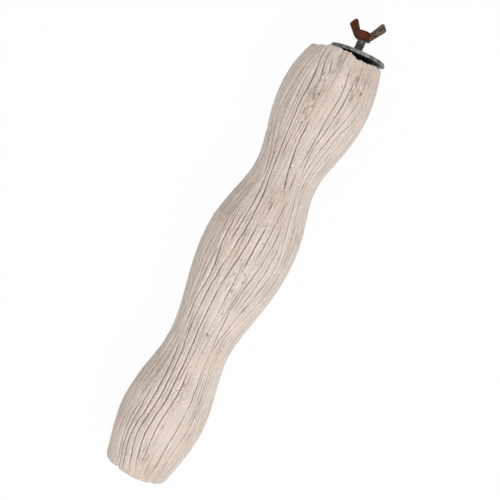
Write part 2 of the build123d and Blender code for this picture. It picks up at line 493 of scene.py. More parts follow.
@dataclass(frozen=True)
class CastMineral:
    """Chalky cast of cement and minerals: painted highlights on groove lips, dust and painted shade in
    hollows, and painted shade under the clamp.
    """

    name: str = "cast_mineral"
    pale: Color = srgb(229, 216, 207)
    warm: Color = srgb(219, 201, 189)
    cool: Color = srgb(213, 205, 196)
    # Chalk white: real pale crumbs, and a painted highlight on the groove lips
    chalk_and_highlight: Color = srgb(240, 230, 222)
    # Dust brown: real dust in the grain and fibre streaks, and painted shade in the grooves and pits
    dust_and_shade: Color = srgb(124, 103, 88)
    # Near-black painted shade on the mount face under the washers, where the gap lies in shadow
    soil: Color = srgb(30, 26, 23)
    warm_scale: float = 16.0
    cool_scale: float = 75.0
    cool_share: float = 0.45
    grain_scale: float = 900.0
    grain_stretch: float = 0.5
    grain_tone: float = 0.22
    fibre_scale: float = 520.0
    fibre_stretch: float = 0.035
    fibre_tone: float = 0.24
    pits: Specks = Specks(
        scale=440.0, stretch=0.5, edge=(0.24, 0.42), seed=6.0,
        patch_scale=260.0, patch_detail=3.0, patch_edge=(0.4, 0.56), patch_seed=8.0,
    )
    crumbs: Specks = Specks(
        scale=520.0, stretch=0.6, edge=(0.26, 0.46), seed=9.0,
        patch_scale=300.0, patch_detail=2.0, patch_edge=(0.36, 0.5), patch_seed=10.0,
    )
    # How far the groove lips are lightened as a painted highlight
    lip_highlight: float = 0.5
    crumb_tone: float = 0.8
    # How far grooves and pits darken towards dust brown, partly as painted shade in the recesses
    hollow_tone: float = 0.66
    pit_tone: float = 0.9
    pits_among_crumbs: float = 0.8
    stray_pits: float = 0.15
    roughness: float = 0.93
    shine: float = 0.2
    grain_height: float = 0.5
    fibre_height: float = 0.5
    crumb_height: float = 1.6
    relief_strength: float = 0.6
    relief_depth: float = 0.4

    def material(self, effects: SharedEffects) -> bpy.types.Material:
        """Build the material, which reads the attributes hollow, lip, skin, rough and crumb, and the painted
        shade under the clamp.

        Args:
            effects: the shared shader groups.

        Returns:
            The material.
        """
        plan = MaterialPlan(self.name)
        skin = plan.attribute("skin", "Vector")
        labels = ("lip", "hollow", "rough", "crumb", "soil")
        lip, hollow, rough, crumbly, clamp_shaded = (plan.attribute(label) for label in labels)
        drift = partial(plan.effect, effects.mottle, Vector=plan.where, First=self.pale)
        warm = drift(Scale=self.warm_scale, Seed=1.0, Second=self.warm)["Color"]
        cool = drift(Scale=self.cool_scale, Seed=2.0, Second=self.cool)["Color"]
        grain = plan.effect(effects.grain, Vector=skin, Scale=self.grain_scale, Stretch=self.grain_stretch)
        fibre = plan.effect(effects.grain, Vector=skin, Scale=self.fibre_scale, Stretch=self.fibre_stretch)
        body = plan.mixed(self.cool_share, warm, cool)
        streaked = plan.mixed(plan.product(fibre["Value"], self.fibre_tone), body, self.dust_and_shade)
        speckled = plan.mixed(plan.product(grain["Value"], self.grain_tone), streaked, self.dust_and_shade)
        # Painted highlight: the lips beside the grooves turn towards chalk white
        lip_highlighted = plan.mixed(plan.product(lip, self.lip_highlight), speckled, self.chalk_and_highlight)
        crumbs = plan.product(self.crumbs.mask(plan, skin), crumbly)
        lit = plan.mixed(plan.product(crumbs, self.crumb_tone), lip_highlighted, self.chalk_and_highlight)
        pitted = plan.math("MAXIMUM", rough, plan.product(crumbly, self.pits_among_crumbs))
        share = plan.math("MULTIPLY_ADD", pitted, 1.0 - self.stray_pits, self.stray_pits)
        pits = plan.product(self.pits.mask(plan, skin), share)
        # Grooves and pits darken with their depth: partly dust, partly painted shade in the recesses
        hollow_dust_and_shade = plan.product(hollow, self.hollow_tone)
        sunk = plan.math("MAXIMUM", hollow_dust_and_shade, plan.product(pits, self.pit_tone))
        # Painted shade: the mount face under the washers goes near black
        plan.shade(Base_Color=plan.mixed(clamp_shaded, plan.mixed(sunk, lit, self.dust_and_shade), self.soil))
        plan.shade(Roughness=self.roughness, Specular_IOR_Level=self.shine)
        lines = ((grain["Height"], self.grain_height), (fibre["Height"], self.fibre_height))
        raised = plan.weighed(*lines, (crumbs, self.crumb_height))
        height = plan.math("SUBTRACT", raised, pits)
        plan.shade(Normal=plan.relief(height, self.relief_strength, self.relief_depth))
        return plan.material


class Axis(Enum):
    """Axes along which rust can grow."""

    ALONG_STUD = "X"
    ACROSS_STUD = "Y"


@dataclass(frozen=True)
class WornSteel:
    """Steel of two tones, painted dark as shade where the mesh asks for it, and under rust that grows along
    an axis.
    """

    name: str
    bright: Color
    dull: Color
    grime: Color
    light_rust: Color
    dark_rust: Color
    tone_scale: float
    tone_seed: float
    grain_scale: float
    rust_scale: float
    rust_axis: Axis
    rust_span: Span
    rust_cover: Span
    metallic: float
    metallic_loss: float
    shine: float
    roughness: float
    grain_roughness: float
    matt_roughness: float
    grain_height: float
    rust_height: float
    relief_strength: float
    relief_depth: float

    def material(self, effects: SharedEffects) -> bpy.types.Material:
        """Build the material, which reads the attribute that asks for painted shade.

        Args:
            effects: the shared shader groups.

        Returns:
            The material.
        """
        plan = MaterialPlan(self.name)
        place = partial(plan.effect, Vector=plan.where)
        tones = {"First": self.bright, "Second": self.dull}
        tone = place(effects.mottle, Scale=self.tone_scale, Seed=self.tone_seed, **tones)
        grain = place(effects.grain, Scale=self.grain_scale, Stretch=1.0)
        along = plan.add("ShaderNodeSeparateXYZ", {"Vector": plan.where}).outputs[self.rust_axis.value]
        start, end = self.rust_span
        coverage = plan.ramp(along, start * MM, end * MM, *self.rust_cover)
        browns = {"Light": self.light_rust, "Dark": self.dark_rust}
        rust = place(effects.rust, Scale=self.rust_scale, Coverage=coverage, **browns)
        # Painted shade: where the mesh asks for it, the steel is painted near black and loses its shine
        shaded = plan.attribute("grime")
        coated = plan.mixed(shaded, tone["Color"], self.grime)
        plan.shade(Base_Color=plan.mixed(rust["Mask"], coated, rust["Color"]))
        matt = plan.math("MAXIMUM", rust["Mask"], shaded)
        plan.shade(Metallic=plan.math("MULTIPLY_ADD", matt, -self.metallic_loss, self.metallic))
        plan.shade(Specular_IOR_Level=self.shine)
        worn = plan.math("MULTIPLY_ADD", grain["Value"], self.grain_roughness, self.roughness)
        plan.shade(Roughness=plan.math("MULTIPLY_ADD", matt, self.matt_roughness, worn))
        height = plan.weighed((grain["Height"], self.grain_height), (rust["Height"], self.rust_height))
        plan.shade(Normal=plan.relief(height, self.relief_strength, self.relief_depth))
        return plan.material


@dataclass(frozen=True)
class ZincSteel(WornSteel):
    """Dull zinc plate gone grey, with painted black shade under the washers, a painted dark reflection on the
    outer washer's face under the nut, and rust where the wing nut sits.
    """

    name: str = "zinc_steel"
    bright: Color = srgb(140, 142, 136)
    dull: Color = srgb(88, 92, 86)
    # Painted shade: near black under the washers, and a painted dark reflection on the outer washer's face
    # under the nut
    grime: Color = srgb(26, 24, 22)
    light_rust: Color = srgb(104, 56, 28)
    dark_rust: Color = srgb(60, 30, 16)
    tone_scale: float = 210.0
    tone_seed: float = 5.0
    grain_scale: float = 900.0
    rust_scale: float = 260.0
    rust_axis: Axis = Axis.ALONG_STUD
    rust_span: Span = (8.5, 14.0)
    rust_cover: Span = (0.12, 1.0)
    metallic: float = 0.9
    metallic_loss: float = 0.85
    shine: float = 0.5
    roughness: float = 0.38
    grain_roughness: float = 0.22
    matt_roughness: float = 0.3
    grain_height: float = 0.5
    rust_height: float = 0.8
    relief_strength: float = 0.35
    relief_depth: float = 0.12


@dataclass(frozen=True)
class RustySteel(WornSteel):
    """Forged steel under brown rust, worn back to grey metal on one wing."""

    name: str = "rusty_steel"
    bright: Color = srgb(124, 114, 99)
    dull: Color = srgb(70, 59, 48)
    grime: Color = srgb(70, 59, 48)
    light_rust: Color = srgb(108, 52, 16)
    dark_rust: Color = srgb(46, 22, 8)
    tone_scale: float = 320.0
    tone_seed: float = 7.0
    grain_scale: float = 1100.0
    rust_scale: float = 240.0
    rust_axis: Axis = Axis.ACROSS_STUD
    rust_span: Span = (-6.5, 0.0)
    rust_cover: Span = (0.42, 1.0)
    metallic: float = 0.65
    metallic_loss: float = 0.6
    shine: float = 0.25
    roughness: float = 0.45
    grain_roughness: float = 0.2
    matt_roughness: float = 0.22
    grain_height: float = 0.6
    rust_height: float = 0.8
    relief_strength: float = 0.5
    relief_depth: float = 0.2


def new_object(
    name: str, points: np.ndarray, faces: Faces, edges: Optional[list[tuple[int, int]]] = None
) -> bpy.types.Object:
    """Make a mesh object at the origin.

    Args:
        name: the object's name.
        points: its points in metres, one a row.
        faces: point numbers of each face.
        edges: point numbers of each loose edge.

    Returns:
        The object, linked to the scene and shaded smooth.
    """
    mesh = bpy.data.meshes.new(name)
    mesh.from_pydata(points.tolist(), edges or [], faces)
    mesh.validate()
    mesh.shade_smooth()
    made = bpy.data.objects.new(name, mesh)
    bpy.context.scene.collection.objects.link(made)
    return made


def store(piece: bpy.types.Object, name: str, values: np.ndarray) -> None:
    """Keep a number or a vector for each point of a mesh, under a name.

    Args:
        piece: the mesh object.
        name: the attribute's name.
        values: one number, or one row of three, for each point.
    """
    kind, part = ("FLOAT_VECTOR", "vector") if values.ndim == 2 else ("FLOAT", "value")
    attribute = piece.data.attributes.new(name, kind, "POINT")
    attribute.data.foreach_set(part, values.astype(np.float32).ravel())


def add_nodes(piece: bpy.types.Object, tree: bpy.types.NodeTree, values: dict[str, Feed]) -> None:
    """Give an object a Geometry Nodes modifier.

    Args:
        piece: the object.
        tree: the tree.
        values: what goes into its named inputs.
    """
    modifier = piece.modifiers.new(tree.name, "NODES")
    modifier.node_group = tree
    for item in tree.interface.items_tree:
        if item.in_out == "INPUT" and item.name in values:
            modifier[item.identifier] = values[item.name]


def settle(piece: bpy.types.Object) -> None:
    """Turn what an object's modifiers give into its plain mesh.

    Args:
        piece: the object.
    """
    bpy.context.view_layer.update()
    depsgraph = bpy.context.evaluated_depsgraph_get()
    shaped = piece.evaluated_get(depsgraph)
    mesh = bpy.data.meshes.new_from_object(shaped, preserve_all_data_layers=True, depsgraph=depsgraph)
    piece.modifiers.clear()
    piece.data = mesh
    mesh.name = piece.name
    mesh.shade_smooth()


def report(piece: bpy.types.Object) -> None:
    """Write a line about a finished piece to the log."""
    triangles = sum(len(face.vertices) - 2 for face in piece.data.polygons)
    log.info("%s: %d triangles", piece.name, triangles)


@dataclass(frozen=True)
class BodyAxis:
    """Line that the cast body follows, beside the stud and leaning from it."""

    start_x: float = -3.1
    start_y: float = 4.7
    lean: float = 4.0

    @property
    def along(self) -> np.ndarray:
        """Direction from the mount end to the far end."""
        return np.array([-math.cos(math.radians(self.lean)), math.sin(math.radians(self.lean)), 0.0])

    @property
    def aside(self) -> np.ndarray:
        """Direction across the body in which angles on it grow from the top."""
        return np.array([-math.sin(math.radians(self.lean)), -math.cos(math.radians(self.lean)), 0.0])

    def points(self, station: np.ndarray, radius: np.ndarray, angle: np.ndarray) -> np.ndarray:
        """Place points on the body.

        Args:
            station: millimetres along the axis.
            radius: millimetres from the axis.
            angle: degrees from the top.

        Returns:
            The points in metres, one a row.
        """
        turn = np.radians(angle)
        start = np.array([self.start_x, self.start_y, 0.0])
        level = np.outer(station, self.along) + np.outer(radius * np.sin(turn), self.aside)
        raised = np.outer(radius * np.cos(turn), np.array([0.0, 0.0, 1.0]))
        return (start + level + raised) * MM

    def middle(self, station: float) -> Vector:
        """Find the point of the axis at one station, in metres."""
        return Vector(self.points(np.array([station]), np.zeros(1), np.zeros(1))[0])


@dataclass(frozen=True)
class BodyOutline:
    """Side outline of the cast body: three bulges and two necks between its two ends."""

    mount_radius: float = 23.1
    first_bulge: Place = (32.5, 29.9)
    first_neck: Place = (86.0, 21.6)
    middle_bulge: Place = (138.5, 30.7)
    second_neck: Place = (211.5, 21.0)
    last_bulge: Place = (264.5, 28.2)
    far_end: Place = (305.0, 21.0)
    bulge_level: float = 0.44
    neck_level: float = 0.34
    far_level: float = 0.35
    samples: int = 81

    def curve(self, *handles: Place) -> np.ndarray:
        """Sample a smooth curve from end to end, drawn towards the handles between them.

        Args:
            handles: the curve's ends and the handles between them.

        Returns:
            Places along the curve, one a row.
        """
        share = np.linspace(0.0, 1.0, self.samples)[:, None]
        degree = len(handles) - 1
        terms = [
            math.comb(degree, i) * share**i * (1 - share) ** (degree - i) * np.array(handle)
            for i, handle in enumerate(handles)
        ]
        return np.sum(terms, axis=0)

    def wave(self, start: Place, end: Place) -> np.ndarray:
        """Sample the stretch between a bulge and a neck, level at both.

        Args:
            start: the bulge or neck nearer to the mount end.
            end: the next neck or bulge.

        Returns:
            Places along the stretch, one a row.
        """
        falling = start[1] > end[1]
        leave = self.bulge_level if falling else self.neck_level
        arrive = self.neck_level if falling else self.bulge_level
        stretch = end[0] - start[0]
        leaving = (start[0] + leave * stretch, start[1])
        arriving = (end[0] - arrive * stretch, end[1])
        return self.curve(start, leaving, arriving, end)

    def radius(self, station: np.ndarray) -> np.ndarray:
        """Read the outline.

        Args:
            station: millimetres along the axis.

        Returns:
            The radius at each station, in millimetres.
        """
        first_handle = (self.first_bulge[0] / 2, self.first_bulge[1])
        swelling = self.curve((0.0, self.mount_radius), first_handle, self.first_bulge)
        turns = [self.first_bulge, self.first_neck, self.middle_bulge, self.second_neck, self.last_bulge]
        waves = [self.wave(start, end) for start, end in zip(turns, turns[1:])]
        far_leave = self.last_bulge[0] + self.far_level * (self.far_end[0] - self.last_bulge[0])
        closing = self.curve(self.last_bulge, (far_leave, self.last_bulge[1]), self.far_end)
        line = np.concatenate([swelling, *waves, closing])
        return np.interp(station, line[:, 0], line[:, 1])


class GrooveDepth(Enum):
    """How strongly a groove is cut: depth and half width in millimetres."""

    DEEP = (1.0, 0.6)
    PLAIN = (0.8, 0.55)
    FAINT = (0.48, 0.45)


@dataclass(frozen=True)
class Groove:
    """A lengthwise groove through places on the body, each a station and an angle."""

    depth: GrooveDepth
    places: Places

    def line(self, spacing: float) -> np.ndarray:
        """Draw a smooth line through the places.

        Args:
            spacing: millimetres between its points.

        Returns:
            The stations and angles of its points.
        """
        knots = np.array(self.places)
        slopes = np.gradient(knots[:, 1], knots[:, 0])
        count = max(3, int((knots[-1, 0] - knots[0, 0]) / spacing))
        station = np.linspace(knots[0, 0], knots[-1, 0], count)
        part = np.clip(np.searchsorted(knots[:, 0], station, side="right") - 1, 0, len(knots) - 2)
        stretch = knots[part + 1, 0] - knots[part, 0]
        t = (station - knots[part, 0]) / stretch
        start = (1 + 2 * t) * (1 - t) ** 2 * knots[part, 1] + t * (1 - t) ** 2 * stretch * slopes[part]
        end = t**2 * (3 - 2 * t) * knots[part + 1, 1] + t**2 * (t - 1) * stretch * slopes[part + 1]
        return np.column_stack([station, start + end])


@dataclass(frozen=True)
class Patch:
    """An oval patch: its middle, its half length, its half width in degrees and its strength."""

    station: float
    angle: float
    length: float
    width: float
    strength: float = 1.0
    core: float = 0.45

    def cover(self, station: np.ndarray, angle: np.ndarray) -> np.ndarray:
        """Read how strongly the patch covers places on the body.

        Args:
            station: millimetres along the axis.
            angle: degrees from the top.

        Returns:
            A number from 0 to the patch's strength for each place.
        """
        turn = (angle - self.angle + 180.0) % 360.0 - 180.0
        reach = np.hypot((station - self.station) / self.length, turn / self.width)
        return self.strength * smooth_step(reach, 1.0, self.core)


def covered(patches: tuple[Patch, ...], station: np.ndarray, angle: np.ndarray) -> np.ndarray:
    """Add up how strongly patches cover places on the body."""
    return sum(patch.cover(station, angle) for patch in patches)


# Grooves on the upper side, from the mount end to the far end
UPPER_LINES = {
    GrooveDepth.DEEP: (
        ((4, -36), (20, -28), (50, -27), (86, -27), (107, -17), (128, -14), (150, -17)),
        ((149, -17), (178, -24), (203, -28), (226, -20), (250, -15), (285, -19), (306, -9)),
        ((117, -36), (143, -33), (166, -30), (191, -40), (203, -42)),
        ((214, -36), (233, -27), (256, -23), (286, -28), (310, -20)),
        ((121, -3), (141, -4), (160, -8), (169, -11)),
        ((171, -11), (203, -12), (224, -8), (246, -5), (282, -9), (304, 0)),
        ((119, 9), (134, 7), (156, 6)),
        ((47, -5), (70, -5), (82, -1), (93, 6), (100, 11)),
        ((150, -36), (164, -39), (173, -41)),
        ((7, -18), (19, -11)),
        ((102, 2), (119, 1)),
        ((167, 11), (176, 11)),
        ((84, 14), (96, 17)),
    ),
    GrooveDepth.PLAIN: (
        ((5, -28), (15, -22), (27, -16)),
        ((10, -40), (33, -41), (66, -43), (81, -37), (96, -30), (117, -23), (142, -24)),
        ((12, -47), (35, -50), (61, -56), (79, -46), (94, -36)),
        ((8, 11), (25, 15), (45, 13), (62, 14), (80, 15)),
        ((101, 21), (123, 17), (144, 15)),
        ((14, 24), (34, 22), (52, 20), (68, 18), (80, 23), (96, 28)),
        ((26, 54), (40, 46), (52, 39), (68, 37), (78, 36), (92, 38)),
        ((23, 42), (42, 35), (63, 28), (82, 28), (102, 34), (126, 38), (140, 43), (170, 38)),
        ((168, 38), (199, 30), (217, 27), (242, 29), (281, 26), (303, 30)),
        ((36, 65), (62, 48), (82, 43), (106, 45), (150, 57), (182, 47), (200, 36), (214, 38)),
        ((128, 34), (141, 34), (157, 32), (170, 30), (182, 28)),
        ((106, 54), (119, 49), (130, 47), (140, 49)),
        ((118, 65), (132, 61), (144, 61)),
        ((178, 55), (190, 52), (200, 51), (212, 53)),
        ((213, 38), (240, 43), (266, 43), (286, 40), (303, 46)),
        ((214, 53), (243, 58), (273, 51), (296, 51)),
        ((116, 27), (144, 24), (168, 19), (181, 18), (197, 21), (214, 25)),
        ((225, 3), (242, 6), (269, 1), (296, 5)),
        ((243, -34), (267, -33), (289, -35), (310, -27)),
        ((260, -36), (280, -41), (303, -36)),
        ((267, -47), (288, -54), (302, -51)),
        ((119, -39), (136, -37)),
        ((143, -50), (162, -53), (170, -52)),
        ((164, -2), (173, -2)),
        ((295, 16), (305, 20)),
    ),
    GrooveDepth.FAINT: (
        ((42, 4), (60, 5)),
        ((51, -13), (77, -18)),
    ),
}

# Main grooves on the under side, each given by its angles at the same stations
UNDER_STATIONS = (1.5, 21.5, 51.5, 86.5, 106.5, 126.5, 151.5, 176.5, 201.5, 226.5, 251.5, 281.5, 305.0)
UNDER_LANES = (
    (88, 82, 76, 66, 70, 74, 78, 72, 64, 66, 66, 66, 70),
    (110, 106, 98, 90, 94, 98, 101, 96, 90, 92, 90, 92, 94),
    (132, 128, 122, 114, 118, 124, 122, 120, 116, 118, 116, 118, 118),
    (154, 150, 146, 140, 144, 150, 146, 144, 142, 144, 140, 142, 144),
    (178, 176, 172, 166, 170, 174, 172, 170, 168, 172, 166, 168, 170),
    (-158, -160, -164, -166, -162, -160, -164, -164, -166, -162, -168, -164, -164),
    (-132, -136, -138, -140, -136, -134, -140, -138, -140, -138, -142, -138, -138),
    (-106, -110, -112, -114, -110, -108, -114, -112, -114, -112, -116, -112, -112),
    (-80, -82, -84, -86, -84, -82, -88, -86, -88, -84, -88, -84, -86),
)
MAIN_GROOVES = (
    *(Groove(depth, places) for depth, lines in UPPER_LINES.items() for places in lines),
    *(Groove(GrooveDepth.PLAIN, tuple(zip(UNDER_STATIONS, lane))) for lane in UNDER_LANES),
)

# Patches where the cast is pitted, where pale crumbs stick to it, and where it is plain between the grooves
ROUGH_PATCHES = (
    Patch(38, -13, 24, 8),
    Patch(17, 30, 15, 22, 0.85),
    Patch(11, -8, 9, 8, 0.8),
    Patch(160, 2, 24, 7, 0.55),
    Patch(242, 12, 16, 8, 0.6),
    Patch(100, 6, 14, 9, 0.5),
    Patch(292, 0, 12, 14, 0.5),
    Patch(70, 120, 26, 14, 0.9),
    Patch(190, -135, 30, 12, 0.8),
    Patch(262, 160, 20, 20, 0.7),
)
CRUMBLY_PATCHES = (
    Patch(38, -13, 28, 10),
    Patch(15, 22, 14, 28, 0.8),
    Patch(92, 2, 34, 13, 0.9),
    Patch(135, 12, 34, 13, 0.7),
    Patch(165, 6, 28, 10, 0.9),
    Patch(212, 4, 44, 12, 0.9),
    Patch(255, 10, 24, 10, 0.6),
    Patch(70, 120, 26, 14, 0.8),
    Patch(190, -135, 30, 12, 0.8),
)
PLAIN_PATCHES = (
    Patch(98, -11, 26, 12),
    Patch(262, 15, 46, 13),
    Patch(52, 3, 16, 8),
    Patch(60, -165, 30, 14),
    Patch(230, 105, 30, 12),
)


@dataclass
class GrooveField:
    """All grooves of the bark: the main ones, and lesser ones in lanes between them."""

    point_step: float = 2.0
    lane_step: float = 8.5
    lane_spread: Span = (0.55, 1.1)
    lane_start: Span = (-10.0, 30.0)
    lane_length: Span = (25.0, 130.0)
    lane_gap: Span = (4.0, 28.0)
    last_start: float = 300.0
    last_station: float = 306.0
    upper_angle: float = 62.0
    upper_share: float = 0.5
    under_share: float = 0.8
    faint_share: float = 0.55
    place_step: float = 8.0
    sway: float = 9.0
    sway_length: float = 75.0
    sway_round: float = 1.4
    clear_length: float = 5.0
    clear_angle: float = 3.0
    plain_cover: float = 0.3
    seam_angle: float = 200.0
    wave_length: float = 9.0
    wave_offset: float = 3.7
    wave_angle: float = 0.5
    wave_depth: float = 0.4
    wave_width: float = 0.2
    fade_length: float = 9.0
    fade_start: float = 2.0
    end_width: float = 0.55

    def lesser(self) -> list[Groove]:
        """Lay lesser grooves in lanes round the whole body, clear of the main ones.

        Returns:
            Plain and deep grooves in places on the under side, and faint ones everywhere.
        """
        chance = random.Random(SEED)
        main = np.vstack([groove.line(self.point_step) for groove in MAIN_GROOVES])
        made: list[Groove] = []
        lane = -180.0
        while lane < 180.0:
            on_top = abs(lane) < self.upper_angle
            station = chance.uniform(*self.lane_start)
            while station < self.last_start:
                length = chance.uniform(*self.lane_length)
                faint = on_top or chance.random() < self.faint_share
                depth = GrooveDepth.FAINT if faint else chance.choice([GrooveDepth.DEEP, GrooveDepth.PLAIN])
                stretches = self.lane_places(lane, station, min(station + length, self.last_station), main)
                made += [Groove(depth, stretch) for stretch in stretches]
                station += length + chance.uniform(*self.lane_gap)
            step = chance.uniform(*self.lane_spread) * self.lane_step
            lane += step * (self.upper_share if on_top else self.under_share)
        return made

    def lane_places(self, lane: float, start: float, end: float, main: np.ndarray) -> list[Places]:
        """Follow a lane along the body, broken where it meets a main groove or a plain patch.

        Args:
            lane: the lane's angle.
            start: station of its start.
            end: station of its end.
            main: stations and angles of the grooves to keep clear of.

        Returns:
            The places of each unbroken stretch.
        """
        stretches: list[list[Place]] = [[]]
        turn = math.radians(lane)
        across, above = self.sway_round * math.cos(turn), self.sway_round * math.sin(turn)
        for station in np.arange(start, end, self.place_step):
            angle = lane + self.sway * noise.noise(Vector((station / self.sway_length, across, above)))
            gap = np.abs(main[np.abs(main[:, 0] - station) < self.clear_length, 1] - angle)
            here = (np.array([station]), np.array([angle]))
            plain = any(patch.cover(*here)[0] > self.plain_cover for patch in PLAIN_PATCHES)
            if plain or (len(gap) and gap.min() < self.clear_angle):
                stretches.append([])
            else:
                stretches[-1].append((float(station), angle))
        return [tuple(stretch) for stretch in stretches if len(stretch) > 2]

    def build(self) -> bpy.types.Object:
        """Draw all grooves as loose edges on the flattened body.

        Returns:
            The lines, with the attributes depth and width, and with copies past the seam of the body.
        """
        points: list[tuple[float, float, float]] = []
        edges: list[tuple[int, int]] = []
        sizes: list[tuple[float, float]] = []
        for number, groove in enumerate([*MAIN_GROOVES, *self.lesser()]):
            line = groove.line(self.point_step)
            depth, width = groove.depth.value
            first_station, last_station = line[0, 0] - self.fade_start, line[-1, 0] + self.fade_start
            for turn in (-360.0, 0.0, 360.0):
                first = len(points)
                for station, angle in line[np.abs(line[:, 1] + turn) <= self.seam_angle]:
                    wave = noise.noise(Vector((station / self.wave_length, number * self.wave_offset, 0.0)))
                    to_end = min(station - first_station, last_station - station)
                    fade = min(1.0, to_end / self.fade_length)
                    place = math.radians(angle + turn + self.wave_angle * wave) * FLAT_RADIUS
                    points.append((place * MM, station * MM, 0.0))
                    thin = self.end_width + (1.0 - self.end_width) * fade
                    cut = depth * fade * (1.0 + self.wave_depth * wave)
                    sizes.append((cut * MM, width * thin * (1.0 + self.wave_width * wave) * MM))
                edges += [(i, i + 1) for i in range(first, len(points) - 1)]
        made = new_object("groove_lines", np.array(points), [], edges)
        for label, values in zip(("depth", "width"), np.array(sizes).T):
            store(made, label, values)
        return made


class BarkTree(NodeGroup):
    """Geometry Nodes that cut grooves, fine cracks and pits into a smooth cast.

    The tree reads the attributes flat, skin, rough and side, and stores the attributes hollow and lip.
    """

    HOLLOW_DEPTHS = (0.05 * MM, 0.9 * MM)
    LIP_DEPTHS = (0.2 * MM, 0.9 * MM)
    LIP_WIDTHS = (0.75, 1.25, 2.6)
    WANDER_SCALE = 160.0
    CRACK_SCALE = 330.0
    CRACK_STRETCH = 0.05
    CRACK_WIDTH = 0.16
    BEND_SCALE = 90.0
    BEND_SHARE = 0.0016
    CRACKED_SCALE = 45.0
    CRACKED_EDGE = (0.34, 0.56)
    PIT_SCALE = 460.0
    PIT_STRETCH = 0.6
    PIT_EDGE = (0.14, 0.36)
    STRAY_SCALE = 110.0
    STRAY_EDGE = (0.64, 0.74)
    STRAY_SHARE = 0.5
    CRUMB_SCALE = 420.0
    CRUMB_EDGE = (0.42, 0.66)
    CRUMB_SHARE = 0.8
    BROAD_SCALE = 22.0
    SMALL_SCALE = 210.0
    SMALL_STRETCH = 0.25
    SMALL_SHARE = 0.42

    def __init__(self) -> None:
        """Build the tree."""
        sizes = ("Groove Wander", "Ridge Width", "Ridge Height", "Lip Height", "Crack Depth", "Pit Depth")
        inputs = {
            SocketKind.GEOMETRY: ("Cast",),
            SocketKind.OBJECT: ("Groove Lines",),
            SocketKind.NUMBER: (*sizes, "Unevenness", "Seed"),
            SocketKind.MATERIAL: ("Finish",),
        }
        super().__init__("cast_bark", TreeKind.GEOMETRY, inputs, {SocketKind.GEOMETRY: ("Bark",)})
        self.where = self.add("GeometryNodeInputPosition").outputs["Position"]
        grooves, ridges, lips = self.grooves()
        sunk = self.total(grooves, self.cracks(), self.pits())
        lift = self.math("SUBTRACT", self.total(ridges, self.swell()), sunk)
        normal = self.add("GeometryNodeInputNormal").outputs["Normal"]
        feeds = {"Geometry": self.given["Cast"], "Offset": self.scaled(normal, lift)}
        bark = self.add("GeometryNodeSetPosition", feeds).outputs["Geometry"]
        for label, value in (("hollow", self.ramp(sunk, *self.HOLLOW_DEPTHS)), ("lip", lips)):
            feeds = {"Geometry": bark, "Name": label, "Value": value}
            marked = self.add("GeometryNodeStoreNamedAttribute", feeds, data_type="FLOAT", domain="POINT")
            bark = marked.outputs["Geometry"]
        self.put_out(Bark=self.dressed(bark))

    def sampled(self, lines: Socket, label: str, index: Socket) -> Socket:
        """Read a named attribute of the lines at one of their points.

        Args:
            lines: the lines.
            label: the attribute's name.
            index: number of the point.

        Returns:
            The attribute there.
        """
        feeds = {"Geometry": lines, "Value": self.attribute(label), "Index": index}
        sample = self.add("GeometryNodeSampleIndex", feeds, data_type="FLOAT", domain="POINT")
        return sample.outputs["Value"]

    def grooves(self) -> tuple[Socket, Socket, Socket]:
        """Cut the grooves along their lines, and round the ridges between them.

        Returns:
            The grooves' depth and the ridges' height, in metres, and where the grooves' lips are.
        """
        given = self.given
        drift = self.waves(self.where, self.WANDER_SCALE, detail=3.0, seed=given["Seed"])
        sideways = self.add("ShaderNodeCombineXYZ", {"X": self.product(drift, given["Groove Wander"])})
        spot = self.vector("ADD", self.attribute("flat", "FLOAT_VECTOR"), sideways.outputs["Vector"])
        lines = self.add("GeometryNodeObjectInfo", {"Object": given["Groove Lines"]}).outputs["Geometry"]
        feeds = {"Target": lines, "Source Position": spot}
        near = self.add("GeometryNodeProximity", feeds, target_element="EDGES").outputs["Distance"]
        feeds = {"Geometry": lines, "Sample Position": spot}
        index = self.add("GeometryNodeSampleNearest", feeds, domain="POINT").outputs["Index"]
        depth, width = (self.sampled(lines, label, index) for label in ("depth", "width"))
        cut = self.product(depth, self.ramp(near, 0.0, width, 1.0, 0.0))
        shoulder = self.ramp(near, 0.0, self.math("ADD", width, given["Ridge Width"]))
        foot, top, end = (self.product(width, share) for share in self.LIP_WIDTHS)
        beside = self.product(self.ramp(near, foot, top), self.ramp(near, top, end, 1.0, 0.0))
        lip = self.product(beside, self.ramp(depth, *self.LIP_DEPTHS))
        ridge = self.weighed((shoulder, given["Ridge Height"]), (lip, given["Lip Height"]))
        return cut, ridge, lip

    def cracks(self) -> Socket:
        """Cut a net of fine cracks that run along the side of the body, in places.

        Returns:
            The depth of the cracks in metres.
        """
        along = self.stretched(self.attribute("skin", "FLOAT_VECTOR"), self.CRACK_STRETCH)
        feeds = {"Vector": self.where, "Scale": self.BEND_SCALE, "Detail": 2.0}
        bend = self.add("ShaderNodeTexNoise", feeds).outputs["Color"]
        bent = self.vector("ADD", along, self.scaled(bend, self.BEND_SHARE))
        edge = self.cells(bent, self.CRACK_SCALE, self.given["Seed"], CellDistance.EDGE)
        thin = self.ramp(edge, 0.0, self.CRACK_WIDTH, 1.0, 0.0)
        cracked = self.clouds(self.where, self.CRACKED_SCALE, detail=3.0, seed=11.0)
        places = self.ramp(cracked, *self.CRACKED_EDGE)
        return self.product(thin, places, self.attribute("side"), self.given["Crack Depth"])

